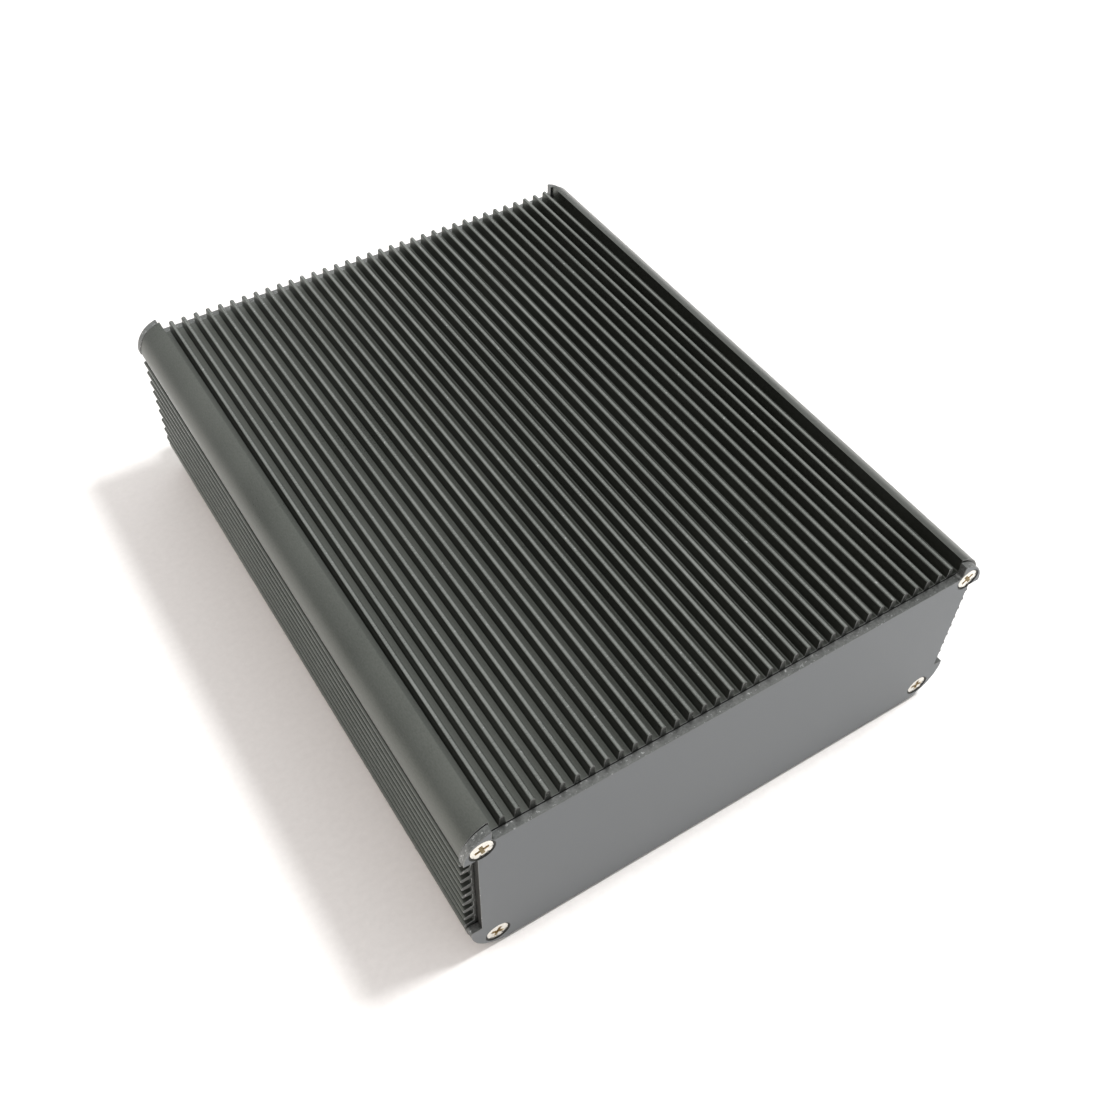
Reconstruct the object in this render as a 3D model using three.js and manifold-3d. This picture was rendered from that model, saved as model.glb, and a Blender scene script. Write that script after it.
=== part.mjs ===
// Servo drive in a split finned aluminium case.
// Millimetres. +X across the fins, -Y the blank end, +Y the connector end, +Z up, origin under the middle.
import * as THREE from "three";
import { mergeVertices } from "three/addons/utils/BufferGeometryUtils.js";
import Module from "manifold-3d";

const wasm = await Module();
wasm.setup();

// Case length and end plates
const HALF_LENGTH = 90;
const PLATE_T = 2.0;
const PLATE_GAP = 0.1;
const PLATE_IN = HALF_LENGTH + PLATE_GAP;
const PLATE_OUT = PLATE_IN + PLATE_T;

// Top fins
const FIN_COUNT = 35;
const FIN_PITCH = 3.6;
const FIN_TOP_Z = 53.15;
const GROOVE_Z = 50.0;
const FIN_TIP_HALF = 0.62;
const FIN_ROOT_HALF = 0.76;
const FIN_TIP_RISE = 0.6;
const FIN_TIP_STEPS = 4;

// Side fins
const SIDE_FIN_COUNT = 9;
const SIDE_FIN_PITCH = 3.65;
const SIDE_FIN_FIRST_Z = 42.3;
const SIDE_FIN_TIP_X = 71.5;
const SIDE_WALL_X = 69.0;

// Corner lobes
const UPPER_LOBE = { x: 62.4, z: 45.2, r: 9.0, from: 77.8, to: 3.2, innerX: 64.3, underZ: 45.4 };
const LOWER_LOBE = { x: 60.1, z: 11.1, r: 11.1, from: -1, to: -90, topZ: 11.3 };
const LOBE_STEPS = 12;

// Outline of the end plates, a little inside the outline of the shells
const PLATE_TOP_Z = 49.85;
const PLATE_SIDE_X = 67.8;
const PLATE_LOBE_UNDER_Z = 45.2;
const PLATE_LOBE_INSET = 0.3;
const PLATE_LOWER_LOBE = { x: 60.0, z: 11.3, r: 10.5, from: 4.4, to: -90, topZ: 12.4 };

// The plates, their screws and the bores sit a little to the left of the middle of the fins
const END_SHIFT_X = -0.5;

// Seam between the two shells
const SEAM_Z = 44.9;
const SEAM_GAP = 0.3;
const TONGUE_X = 66.6;
const TONGUE_IN_X = 64.8;
const TONGUE_Z = 41.6;

// Inside of the case
const CEILING_Z = 46.8;
const FLOOR_Z = 3.0;
const INNER_X = 66.9;
const SLOT_Z = [8.95, 10.85];
const RIB_X = 64.2;
const RIB_TOP_Z = 12.4;
const BOSS_X = 61.3;

// Screws of the end plates
const BORE_R = 1.4;
const UPPER_SCREW = { x: 66.6, z: 48.1 };
const LOWER_SCREW = { x: 63.8, z: 6.0 };
const SCREW_HEAD_R = 2.75;
const SCREW_SHANK_R = 1.2;
const SCREW_LENGTH = 9.0;
const SINK_CLEARANCE = 0.45;
const HEAD_DEPTH = 0.2;
const HEAD_RIM = 0.12;
const HEAD_ROUND = 0.1;
const SHANK_POINT = 0.4;
const THROUGH_CLEARANCE = 0.5;
const SCREW_TURN = { front: { first: 12, step: 25 }, rear: { first: 20, step: 37 } };
const RECESS_W = 0.75;
const RECESS_L = 3.1;
const RECESS_D = 1.1;
const SCREW_SEGMENTS = 18;

// Circuit boards
const BOARD_T = 1.6;
const POWER_BOARD = { x: 66.4, y0: -87, y1: 89, z: 9.1 };
const POWER_TOP = POWER_BOARD.z + BOARD_T;
const CONTROL_BOARD = { x0: -34, x1: 62.5, y0: -24, y1: 88.4, z: 28.2 };
const CONTROL_TOP = CONTROL_BOARD.z + BOARD_T;
const SEAT = 0.02;

// Control board pillars and header
const PILLAR_XY = [[-29.5, -19], [58, -19], [-29.5, 62], [58, 62]];
const PILLAR_FLAT = 5.5;
const PILLAR_BORE_R = 1.5;
const SMALL_SCREW = {
  headR: 2.8, headH: 2.0, shankR: 1.2, holeR: 1.7, armHalf: 1.3, armW: 0.32, armDepth: 1.0,
};
const BOARD_SCREW_LENGTH = 7;
const CLAMP_SCREW_LENGTH = 10;
const HEADER = {
  x0: -8, x1: 38, y: -16, w: 5.0, pins: 16, socketH: 8.5, capH: 2.5, pinHalf: 0.35, rowHalf: 1.27,
};

// Power stage
const DEVICE_COUNT = 6;
const DEVICE_PITCH = 17;
const DEVICE_Y0 = -60;
const DEVICE = {
  x0: -49.9, t: 4.6, w: 10.2, z0: 16.5, z1: 32.5, legHalf: 0.5, legPitch: 2.54, legFrom: 1.9,
  legTo: 2.6,
};
const BAR = {
  x0: -54, x1: -50, y0: -70, y1: 35, z0: POWER_TOP + SEAT, z1: 45.95, flangeX: -64, flangeT: 3.5,
  footX: -61,
};
const PAD_T = 0.8;
const CLAMP = { x0: -45.2, t: 3.0, z0: 21, z1: 28 };
const CLAMP_SCREW_Y = [-51.5, -17.5, 16.5];

// Other power parts
const CAPACITOR_XY = [[-14, -60], [10, -60], [34, -60]];
const CAPACITOR = {
  r: 11, h: 30, grooveZ: 3.6, groove: 0.7, rim: 1.6, dish: 0.4, ventHalf: 6, ventW: 0.3,
  ventDepth: 0.7,
};
const CHOKE = { x: 14, y: 34, rIn: 8, rOut: 14, h: 9, wall: 1.5, gap: 0.3, span: 128 };
const RESISTOR = { x: 56, y: -58, w: 9.5, l: 46, h: 9 };
const CHIP = { x: 12, y: 20, half: 7, h: 1.5, footReach: 1, footH: 0.3, lift: 0.1 };
const FUSE = { x: -48, y: 60, w: 19, t: 5, bodyH: 11, bladeX: 7, bladeHalf: 2.5, bladeT: 0.4, bladeZ: 1.8 };
const FUSE_HOLDER = {
  w: 23, t: 8.4, h: 9.5, pocket: 2.5, seat: 2.2, gap: 0.3, slotHalf: 2.9, slotT: 0.7, slotZ: 1.2,
};

// Rear connectors
const POLE_PITCH = 5.08;
const HEADER_BACK_Y = 78.5;
const HEADER_FACE_Y = 89.7;
const HEADER_H = 10.4;
const HEADER_WALL = 1.2;
const HEADER_FLOOR = 2;
const HEADER_PIN = { half: 0.5, short: 1.5 };
const PLUG_FACE_Y = 98.0;
const PLUG_NOSE_Y = 91;
const PLUG_GAP = 0.3;
const PLUG_SIDE = 0.2;
const PLUG_LIP = { low: 0.8, high: 1.5, rise: 0.6 };
const PLUG_PIN_HALF = 0.85;
const WIRE_HOLE = { drop: 1.6, r: 1.7, depth: 5 };
const DRIVER_SLOT = { half: 1.4, from: 1.5, to: 2.6, depth: 3.5 };
const POWER_TERMINAL = { x: -48, poles: 5 };
const MOTOR_TERMINAL = { x: -19.5, poles: 4 };
const DSUB_Z = CONTROL_TOP + 6.3;
const DSUB_FACE_Y = 95.4;
const DSUB_FLANGE_Y = 88.5;
const DSUB_H = 12.4;
const DSUB_SHELL_H = 8.2;
const DSUB_FLANGE_T = 1.1;
const DSUB_BACK_Y = 78.5;
const DSUB_BODY_SIDE = 3.5;
const CONTACT = { pitch: 2.76, rowHalf: 1.42, r: 0.6, depth: 4 };
const ENCODER = { x: -7.0, shellW: 16.4, lock: 12.5, flangeW: 30.8, rows: [5, 4] };
const IO = { x: 29.2, shellW: 24.8, lock: 16.65, flangeW: 39.0, rows: [8, 7] };
const LOCK = { flat: 4.8, back: 85.5, reach: 94.4, boreR: 1.2, depth: 4, holeR: 3.1 };
const DIP = { x: 56.4, ways: 4, pitch: 2.54, z1: CONTROL_TOP + 6.6, face: 91.4, back: 81, travel: 1.8 };
const DIP_LEVER = { half: 0.6, w: 0.65, tail: 1.3, head: 0.7, round: 0.3, slotW: 0.95, slotDepth: 1.6 };
const LED_X = { power: -31.2, fault: -27.0 };
const LED = {
  z: CONTROL_TOP + 4.4, r: 1.5, root: 87, tip: 93.4, baseHalf: 1.9, baseY: [82.5, 88.3],
  baseRise: 2,
};
const WINDOW_GAP = 0.6;

const COLOURS = {
  case: [0x3f4442, 0.5, 0.9],
  plate: [0x74787a, 0.48, 0.9],
  screw: [0xc9c6bd, 0.25, 1.0],
  board: [0x1f5a3a, 0.5, 0.0],
  brass: [0xb9a15a, 0.35, 1.0],
  plastic: [0x17181a, 0.5, 0.0],
  green: [0x2f8b4b, 0.5, 0.0],
  metal: [0xa9adb0, 0.35, 1.0],
  sleeve: [0x1d2433, 0.4, 0.0],
  ferrite: [0x3a3d3b, 0.8, 0.0],
  copper: [0xa5582c, 0.35, 0.8],
  ceramic: [0xd8d4c8, 0.85, 0.0],
  pad: [0x8fa3b5, 0.9, 0.0],
  amber: [0xc9781c, 0.4, 0.0],
  blue: [0x2b4f8e, 0.45, 0.0],
  white: [0xe4e2da, 0.5, 0.0],
  ledGreen: [0x58b56a, 0.2, 0.0],
  ledRed: [0xc23b32, 0.2, 0.0],
};

// ---------- helpers ----------

function radians(degrees) {
  return (degrees * Math.PI) / 180;
}

function arc(cx, cz, r, from, to, steps) {
  const points = [];
  for (let i = 0; i <= steps; i += 1) {
    const a = radians(from + ((to - from) * i) / steps);
    points.push([cx + r * Math.cos(a), cz + r * Math.sin(a)]);
  }
  return points;
}

function shapeOf(points) {
  return new THREE.Shape(points.map(([u, v]) => new THREE.Vector2(u, v)));
}

function pathOf(points) {
  return new THREE.Path(points.map(([u, v]) => new THREE.Vector2(u, v)));
}

function extrude(shape, depth) {
  return new THREE.ExtrudeGeometry(shape, { depth, bevelEnabled: false, curveSegments: 12 });
}

// Section in X and Z, run along Y.
function alongY(shape, y0, y1) {
  const geometry = extrude(shape, y1 - y0);
  geometry.rotateX(Math.PI / 2);
  geometry.translate(0, y1, 0);
  return geometry;
}

// Section in Y and Z, run along X.
function alongX(shape, x0, x1) {
  const geometry = extrude(shape, x1 - x0);
  geometry.applyMatrix4(new THREE.Matrix4().set(0, 0, 1, 0, 1, 0, 0, 0, 0, 1, 0, 0, 0, 0, 0, 1));
  geometry.translate(x0, 0, 0);
  return geometry;
}

// Plan in X and Y, run along Z.
function alongZ(shape, z0, z1) {
  const geometry = extrude(shape, z1 - z0);
  geometry.translate(0, 0, z0);
  return geometry;
}

function chamferedRect(u0, u1, v0, v1, c) {
  return [
    [u0 + c, v0],
    [u1 - c, v0],
    [u1, v0 + c],
    [u1, v1 - c],
    [u1 - c, v1],
    [u0 + c, v1],
    [u0, v1 - c],
    [u0, v0 + c],
  ];
}

function box(x0, x1, y0, y1, z0, z1) {
  const geometry = new THREE.BoxGeometry(x1 - x0, y1 - y0, z1 - z0);
  geometry.translate((x0 + x1) / 2, (y0 + y1) / 2, (z0 + z1) / 2);
  return geometry;
}

function lathe(points, segments) {
  return new THREE.LatheGeometry(points.map(([r, y]) => new THREE.Vector2(r, y)), segments);
}

function solid(geometry) {
  const bare = geometry.clone();
  bare.deleteAttribute("normal");
  bare.deleteAttribute("uv");
  const merged = mergeVertices(bare, 1e-5);
  const index = merged.index.array;
  const triangles = [];
  for (let i = 0; i < index.length; i += 3) {
    const [a, b, c] = [index[i], index[i + 1], index[i + 2]];
    if (a !== b && b !== c && c !== a) {
      triangles.push(a, b, c);
    }
  }
  const vertProperties = new Float32Array(merged.attributes.position.array);
  return new wasm.Manifold(new wasm.Mesh({ numProp: 3, vertProperties, triVerts: new Uint32Array(triangles) }));
}

function geometryOf(manifold) {
  const mesh = manifold.getMesh();
  const geometry = new THREE.BufferGeometry();
  geometry.setAttribute("position", new THREE.BufferAttribute(new Float32Array(mesh.vertProperties), 3));
  geometry.setIndex(new THREE.BufferAttribute(new Uint32Array(mesh.triVerts), 1));
  geometry.computeVertexNormals();
  return geometry;
}

function union(geometries) {
  return geometries.map(solid).reduce((a, b) => a.add(b));
}

function cut(body, geometries) {
  return geometries.map(solid).reduce((a, b) => a.subtract(b), body);
}

const group = new THREE.Group();
group.name = "servo_drive";

function addPart(name, manifold, colour) {
  const [color, roughness, metalness] = COLOURS[colour];
  const mesh = new THREE.Mesh(geometryOf(manifold), new THREE.MeshStandardMaterial({ color, roughness, metalness }));
  mesh.name = name;
  mesh.material.name = name;
  group.add(mesh);
}

// ---------- case ----------

function finTip(along, half, rise, steps) {
  const points = [];
  for (let i = 0; i <= steps; i += 1) {
    const a = Math.PI - (Math.PI * i) / steps;
    points.push([along + half * Math.cos(a), rise * Math.sin(a)]);
  }
  return points;
}

function topFins() {
  const points = [];
  const middle = (FIN_COUNT - 1) / 2;
  for (let i = middle; i < FIN_COUNT; i += 1) {
    const x = (i - middle) * FIN_PITCH;
    const curve = finTip(x, FIN_TIP_HALF, FIN_TIP_RISE, FIN_TIP_STEPS);
    const tip = curve.map(([u, v]) => [u, FIN_TOP_Z - FIN_TIP_RISE + v]);
    points.push([x - FIN_ROOT_HALF, GROOVE_Z], ...tip, [x + FIN_ROOT_HALF, GROOVE_Z]);
  }
  return points.filter(([x]) => x > -1e-6);
}

function upperLobe(inset, underZ) {
  const { x, z, r, from, to } = UPPER_LOBE;
  const curve = arc(x, z, r - inset, from, to, LOBE_STEPS);
  const [endX] = curve[curve.length - 1];
  return [...curve, [endX - 0.1, underZ + 0.12], [endX - 0.35, underZ]];
}

function upperShellHalf() {
  return [
    ...topFins(),
    [UPPER_LOBE.innerX, GROOVE_Z],
    ...upperLobe(0, UPPER_LOBE.underZ),
    [SIDE_WALL_X, UPPER_LOBE.underZ],
    [SIDE_WALL_X, SEAM_Z],
    [TONGUE_X, SEAM_Z],
    [TONGUE_X, TONGUE_Z + 0.4],
    [TONGUE_X - 0.4, TONGUE_Z],
    [TONGUE_IN_X, TONGUE_Z],
    [TONGUE_IN_X, CEILING_Z - 1.0],
    [TONGUE_IN_X - 1.0, CEILING_Z],
    [0, CEILING_Z],
  ];
}

function sideFins() {
  const points = [];
  for (let k = 0; k < SIDE_FIN_COUNT; k += 1) {
    const z = SIDE_FIN_FIRST_Z - k * SIDE_FIN_PITCH;
    const tip = finTip(0, FIN_TIP_HALF, FIN_TIP_RISE, FIN_TIP_STEPS);
    const outer = tip.map(([u, v]) => [SIDE_FIN_TIP_X - FIN_TIP_RISE + v, z - u]);
    points.push([SIDE_WALL_X, z + FIN_ROOT_HALF], ...outer, [SIDE_WALL_X, z - FIN_ROOT_HALF]);
  }
  return points;
}

function lowerLobe({ x, z, r, from, to, topZ }) {
  return [[x + r - 0.35, topZ], ...arc(x, z, r, from, to, LOBE_STEPS)];
}

function lowerShellHalf() {
  return [
    [0, 0],
    ...lowerLobe(LOWER_LOBE).reverse(),
    [SIDE_WALL_X, LOWER_LOBE.topZ],
    ...sideFins().reverse(),
    [SIDE_WALL_X, SEAM_Z - SEAM_GAP],
    [INNER_X, SEAM_Z - SEAM_GAP],
    [INNER_X, RIB_TOP_Z],
    [RIB_X, RIB_TOP_Z],
    [RIB_X, SLOT_Z[1]],
    [INNER_X, SLOT_Z[1]],
    [INNER_X, SLOT_Z[0]],
    [BOSS_X, SLOT_Z[0]],
    [BOSS_X, FLOOR_Z],
    [0, FLOOR_Z],
  ];
}

function closedSection(half) {
  const right = half.filter(([x]) => x > 1e-6);
  const onAxis = half.filter(([x]) => Math.abs(x) <= 1e-6);
  const left = right.map(([x, z]) => [-x, z]).reverse();
  const last = onAxis[onAxis.length - 1];
  const first = onAxis.length > 1 ? [onAxis[0]] : [];
  return [...first, ...right, last, ...left];
}

function circle(x, z, r, steps) {
  return arc(x, z, r, 0, 360 - 360 / steps, steps - 1);
}

function addShells() {
  const upper = shapeOf(closedSection(upperShellHalf()));
  const lower = shapeOf(closedSection(lowerShellHalf()));
  for (const side of [-1, 1]) {
    upper.holes.push(pathOf(circle(side * UPPER_SCREW.x + END_SHIFT_X, UPPER_SCREW.z, BORE_R, 16)));
    lower.holes.push(pathOf(circle(side * LOWER_SCREW.x + END_SHIFT_X, LOWER_SCREW.z, BORE_R, 16)));
  }
  addPart("upper_shell", solid(alongY(upper, -HALF_LENGTH, HALF_LENGTH)), "case");
  addPart("lower_shell", solid(alongY(lower, -HALF_LENGTH, HALF_LENGTH)), "case");
}

// ---------- end plates and their screws ----------

function plateHalf() {
  return [
    [0, PLATE_TOP_Z],
    [UPPER_LOBE.innerX - 0.9, PLATE_TOP_Z],
    [UPPER_LOBE.innerX - 0.25, PLATE_TOP_Z + 0.3],
    [UPPER_LOBE.innerX, PLATE_TOP_Z + 0.95],
    ...upperLobe(PLATE_LOBE_INSET, PLATE_LOBE_UNDER_Z),
    [PLATE_SIDE_X, PLATE_LOBE_UNDER_Z],
    [PLATE_SIDE_X, PLATE_LOWER_LOBE.topZ],
    ...lowerLobe(PLATE_LOWER_LOBE),
    [0, PLATE_LOWER_LOBE.z - PLATE_LOWER_LOBE.r],
  ];
}

function screwSpots() {
  return [
    [END_SHIFT_X - UPPER_SCREW.x, UPPER_SCREW.z],
    [END_SHIFT_X + UPPER_SCREW.x, UPPER_SCREW.z],
    [END_SHIFT_X - LOWER_SCREW.x, LOWER_SCREW.z],
    [END_SHIFT_X + LOWER_SCREW.x, LOWER_SCREW.z],
  ];
}

// Countersunk hole, mouth at +Y when side is 1 and at -Y when it is -1.
function countersink(x, z, side) {
  const mouth = SCREW_HEAD_R + SINK_CLEARANCE;
  const through = SCREW_SHANK_R + THROUGH_CLEARANCE;
  const profile = [
    [0, -1],
    [through, -1],
    [through, PLATE_T - (mouth - through)],
    [mouth, PLATE_T],
    [mouth + 0.5, PLATE_T + 0.5],
    [0, PLATE_T + 0.5],
  ];
  const geometry = lathe(profile, SCREW_SEGMENTS);
  if (side < 0) {
    geometry.rotateX(Math.PI);
  }
  geometry.translate(x, side * PLATE_IN, z);
  return geometry;
}

function plateBlank(side) {
  const y = [side * PLATE_IN, side * PLATE_OUT].sort((a, b) => a - b);
  const outline = closedSection(plateHalf()).map(([x, z]) => [x + END_SHIFT_X, z]);
  const blank = solid(alongY(shapeOf(outline), y[0], y[1]));
  return cut(blank, screwSpots().map(([x, z]) => countersink(x, z, side)));
}

function dShape(x, z, width, height, grow) {
  const w = width / 2 + grow;
  const h = height / 2 + grow;
  const lean = 0.75;
  return [
    [x - w + lean + 1, z - h],
    [x + w - lean - 1, z - h],
    [x + w - lean, z - h + 1],
    [x + w, z + h - 1],
    [x + w - 1, z + h],
    [x - w + 1, z + h],
    [x - w, z + h - 1],
    [x - w + lean, z - h + 1],
  ];
}

function terminalWidth(terminal) {
  return terminal.poles * POLE_PITCH + 2 * HEADER_WALL;
}

function throughPlate(points) {
  return alongY(shapeOf(points), PLATE_IN - 1, PLATE_OUT + 1);
}

function addPlates() {
  addPart("front_end_plate", plateBlank(-1), "plate");
  const windows = [];
  for (const terminal of [POWER_TERMINAL, MOTOR_TERMINAL]) {
    const half = terminalWidth(terminal) / 2 + WINDOW_GAP;
    const z0 = POWER_TOP - 0.2;
    const z1 = POWER_TOP + HEADER_H + 1.4;
    windows.push(throughPlate(chamferedRect(terminal.x - half, terminal.x + half, z0, z1, 0.5)));
  }
  for (const socket of [ENCODER, IO]) {
    windows.push(throughPlate(dShape(socket.x, DSUB_Z, socket.shellW, DSUB_SHELL_H, WINDOW_GAP)));
    for (const side of [-1, 1]) {
      windows.push(throughPlate(circle(socket.x + side * socket.lock, DSUB_Z, LOCK.holeR, 16)));
    }
  }
  const dipHalf = (DIP.ways * DIP.pitch) / 2 + 0.7;
  windows.push(throughPlate(chamferedRect(DIP.x - dipHalf, DIP.x + dipHalf, CONTROL_TOP - 0.4, DIP.z1 + 0.4, 0.4)));
  for (const x of Object.values(LED_X)) {
    windows.push(throughPlate(circle(x, LED.z, LED.r + 0.3, 16)));
  }
  addPart("rear_end_plate", cut(plateBlank(1), windows), "plate");
}

// Countersunk cross-recess screw, head face at y = 0, shank towards -Y.
function countersunkScrew() {
  const cone = SCREW_HEAD_R - SCREW_SHANK_R;
  const body = solid(lathe(
    [
      [0, -SCREW_LENGTH],
      [SCREW_SHANK_R - SHANK_POINT, -SCREW_LENGTH],
      [SCREW_SHANK_R, -SCREW_LENGTH + SHANK_POINT],
      [SCREW_SHANK_R, -HEAD_RIM - cone],
      [SCREW_HEAD_R, -HEAD_RIM],
      [SCREW_HEAD_R - HEAD_ROUND, 0],
      [0, 0],
    ],
    SCREW_SEGMENTS,
  ));
  const arms = [
    box(-RECESS_L / 2, RECESS_L / 2, -RECESS_D, 1, -RECESS_W / 2, RECESS_W / 2),
    box(-RECESS_W / 2, RECESS_W / 2, -RECESS_D, 1, -RECESS_L / 2, RECESS_L / 2),
  ];
  return cut(body, arms);
}

function addPlateScrews() {
  const screw = geometryOf(countersunkScrew());
  screwSpots().forEach(([x, z], i) => {
    const rear = screw.clone();
    rear.rotateY(radians(SCREW_TURN.rear.first + SCREW_TURN.rear.step * i));
    rear.translate(x, PLATE_OUT - HEAD_DEPTH, z);
    addPart(`rear_screw_${i + 1}`, solid(rear), "screw");
    const front = screw.clone();
    front.rotateY(radians(SCREW_TURN.front.first + SCREW_TURN.front.step * i));
    front.rotateX(Math.PI);
    front.translate(x, -PLATE_OUT + HEAD_DEPTH, z);
    addPart(`front_screw_${i + 1}`, solid(front), "screw");
  });
}

// ---------- boards ----------

function addBoards() {
  const { x, y0, y1, z } = POWER_BOARD;
  const power = alongZ(shapeOf(chamferedRect(-x, x, y0, y1, 1.0)), z, z + BOARD_T);
  addPart("power_board", solid(power), "board");
  const c = CONTROL_BOARD;
  const plan = shapeOf(chamferedRect(c.x0, c.x1, c.y0, c.y1, 1.0));
  for (const [px, py] of PILLAR_XY) {
    plan.holes.push(pathOf(circle(px, py, SMALL_SCREW.holeR, 16)));
  }
  addPart("control_board", solid(alongZ(plan, c.z, c.z + BOARD_T)), "board");
}

function hexagon(x, y, flat) {
  return arc(x, y, flat / Math.sqrt(3), 30, 330, 5);
}

// Pan head screw with a cross recess, seat at y = 0, head towards +Y, shank towards -Y.
function panScrew(length) {
  const { headR, headH, shankR, armHalf, armW, armDepth } = SMALL_SCREW;
  const body = solid(lathe(
    [
      [0, -length],
      [shankR, -length],
      [shankR, 0],
      [headR, 0],
      [headR, headH * 0.6],
      [headR * 0.75, headH],
      [0, headH],
    ],
    12,
  ));
  const arms = [
    box(-armHalf, armHalf, headH - armDepth, headH + 1, -armW, armW),
    box(-armW, armW, headH - armDepth, headH + 1, -armHalf, armHalf),
  ];
  return cut(body, arms);
}

function addPillars() {
  const screw = geometryOf(panScrew(BOARD_SCREW_LENGTH));
  screw.rotateX(Math.PI / 2);
  PILLAR_XY.forEach(([x, y], i) => {
    const plan = shapeOf(hexagon(x, y, PILLAR_FLAT));
    plan.holes.push(pathOf(circle(x, y, PILLAR_BORE_R, 12)));
    addPart(`standoff_${i + 1}`, solid(alongZ(plan, POWER_TOP + SEAT, CONTROL_BOARD.z - SEAT)), "brass");
    const placed = screw.clone();
    placed.translate(x, y, CONTROL_TOP + SEAT);
    addPart(`board_screw_${i + 1}`, solid(placed), "screw");
  });
}

function addBoardHeader() {
  const { x0, x1, y, w, pins, socketH, capH, pinHalf, rowHalf } = HEADER;
  const z0 = POWER_TOP + SEAT;
  const z1 = CONTROL_BOARD.z - SEAT;
  const pieces = [
    box(x0, x1, y - w / 2, y + w / 2, z0, z0 + socketH),
    box(x0, x1, y - w / 2, y + w / 2, z1 - capH, z1),
  ];
  const step = (x1 - x0) / (pins / 2);
  for (let i = 0; i < pins; i += 1) {
    const px = x0 + step * (Math.floor(i / 2) + 0.5);
    const py = y + (i % 2 ? rowHalf : -rowHalf);
    pieces.push(box(px - pinHalf, px + pinHalf, py - pinHalf, py + pinHalf, z0 + socketH - 1, z1 - capH + 1));
  }
  addPart("board_header", union(pieces), "plastic");
}

// ---------- power stage ----------

function addDevices() {
  const { x0, t, w, z0, z1, legHalf, legPitch, legFrom, legTo } = DEVICE;
  for (let i = 0; i < DEVICE_COUNT; i += 1) {
    const y = DEVICE_Y0 + i * DEVICE_PITCH;
    const body = alongX(shapeOf(chamferedRect(y - w / 2, y + w / 2, z0, z1, 0.6)), x0, x0 + t);
    const legs = [-1, 0, 1].map((k) => {
      const ly = y + k * legPitch;
      return box(x0 + legFrom, x0 + legTo, ly - legHalf, ly + legHalf, POWER_TOP + SEAT, z0 + 1);
    });
    addPart(`mosfet_${i + 1}`, union([body, ...legs]), "plastic");
  }
}

function addHeatPath() {
  const { x0, x1, y0, y1, z0, z1, flangeX, flangeT, footX } = BAR;
  const section = [
    [x1, z0],
    [x1, z1],
    [flangeX, z1],
    [flangeX, z1 - flangeT],
    [x0, z1 - flangeT],
    [x0, z0 + flangeT],
    [footX, z0 + flangeT],
    [footX, z0],
  ];
  const bar = solid(alongY(shapeOf(section), y0, y1));
  const holes = CLAMP_SCREW_Y.map((y) => {
    return alongX(shapeOf(circle(y, (CLAMP.z0 + CLAMP.z1) / 2, BORE_R, 12)), x0 - 1, x1 + 1);
  });
  addPart("heat_bar", cut(bar, holes), "metal");
  const pad = box(flangeX + 0.5, x1 - 0.5, y0 + 1, y1 - 1, z1 + SEAT, z1 + PAD_T);
  addPart("thermal_pad", solid(pad), "pad");
  const plan = shapeOf(chamferedRect(y0 + 2, y1 - 2, CLAMP.z0, CLAMP.z1, 0.5));
  for (const y of CLAMP_SCREW_Y) {
    plan.holes.push(pathOf(circle(y, (CLAMP.z0 + CLAMP.z1) / 2, SMALL_SCREW.holeR, 12)));
  }
  addPart("clamp_bar", solid(alongX(plan, CLAMP.x0, CLAMP.x0 + CLAMP.t)), "metal");
  const screw = geometryOf(panScrew(CLAMP_SCREW_LENGTH));
  screw.rotateZ(-Math.PI / 2);
  CLAMP_SCREW_Y.forEach((y, i) => {
    const placed = screw.clone();
    placed.translate(CLAMP.x0 + CLAMP.t + SEAT, y, (CLAMP.z0 + CLAMP.z1) / 2);
    addPart(`clamp_screw_${i + 1}`, solid(placed), "screw");
  });
}

function addCapacitors() {
  const { r, h, grooveZ, groove, rim, dish, ventHalf, ventW, ventDepth } = CAPACITOR;
  CAPACITOR_XY.forEach(([x, y], i) => {
    const can = lathe(
      [
        [0, 0],
        [r - groove, 0],
        [r, groove],
        [r, grooveZ - groove],
        [r - groove, grooveZ],
        [r, grooveZ + groove],
        [r, h - groove],
        [r - groove, h],
        [r - rim, h],
        [r - rim - dish, h - dish],
        [0, h - dish],
      ],
      20,
    );
    can.rotateX(Math.PI / 2);
    can.translate(x, y, POWER_TOP + SEAT);
    const vents = [
      box(x - ventHalf, x + ventHalf, y - ventW, y + ventW, 0, 1),
      box(x - ventW, x + ventW, y - ventHalf, y + ventHalf, 0, 1),
    ];
    vents.forEach((vent) => vent.translate(0, 0, POWER_TOP + SEAT + h - ventDepth));
    addPart(`bus_capacitor_${i + 1}`, cut(solid(can), vents), "sleeve");
  });
}

function addChoke() {
  const { x, y, rIn, rOut, h, wall, gap, span } = CHOKE;
  const z0 = POWER_TOP + SEAT + wall + gap;
  const ring = shapeOf(circle(x, y, rOut, 36));
  ring.holes.push(pathOf(circle(x, y, rIn, 36)));
  addPart("choke_core", solid(alongZ(ring, z0, z0 + h)), "ferrite");
  [0, 180].forEach((turn, i) => {
    const from = turn + 90 - span / 2;
    const to = turn + 90 + span / 2;
    const outer = arc(x, y, rOut + gap + wall, from, to, 14);
    const inner = arc(x, y, rIn - gap - wall, to, from, 14);
    const coil = solid(alongZ(shapeOf([...outer, ...inner]), z0 - gap - wall, z0 + h + gap + wall));
    const tunnelOut = arc(x, y, rOut + gap, from - 8, to + 8, 16);
    const tunnelIn = arc(x, y, rIn - gap, to + 8, from - 8, 16);
    const tunnel = alongZ(shapeOf([...tunnelOut, ...tunnelIn]), z0 - gap, z0 + h + gap);
    addPart(`choke_winding_${i + 1}`, cut(coil, [tunnel]), "copper");
  });
}

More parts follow.
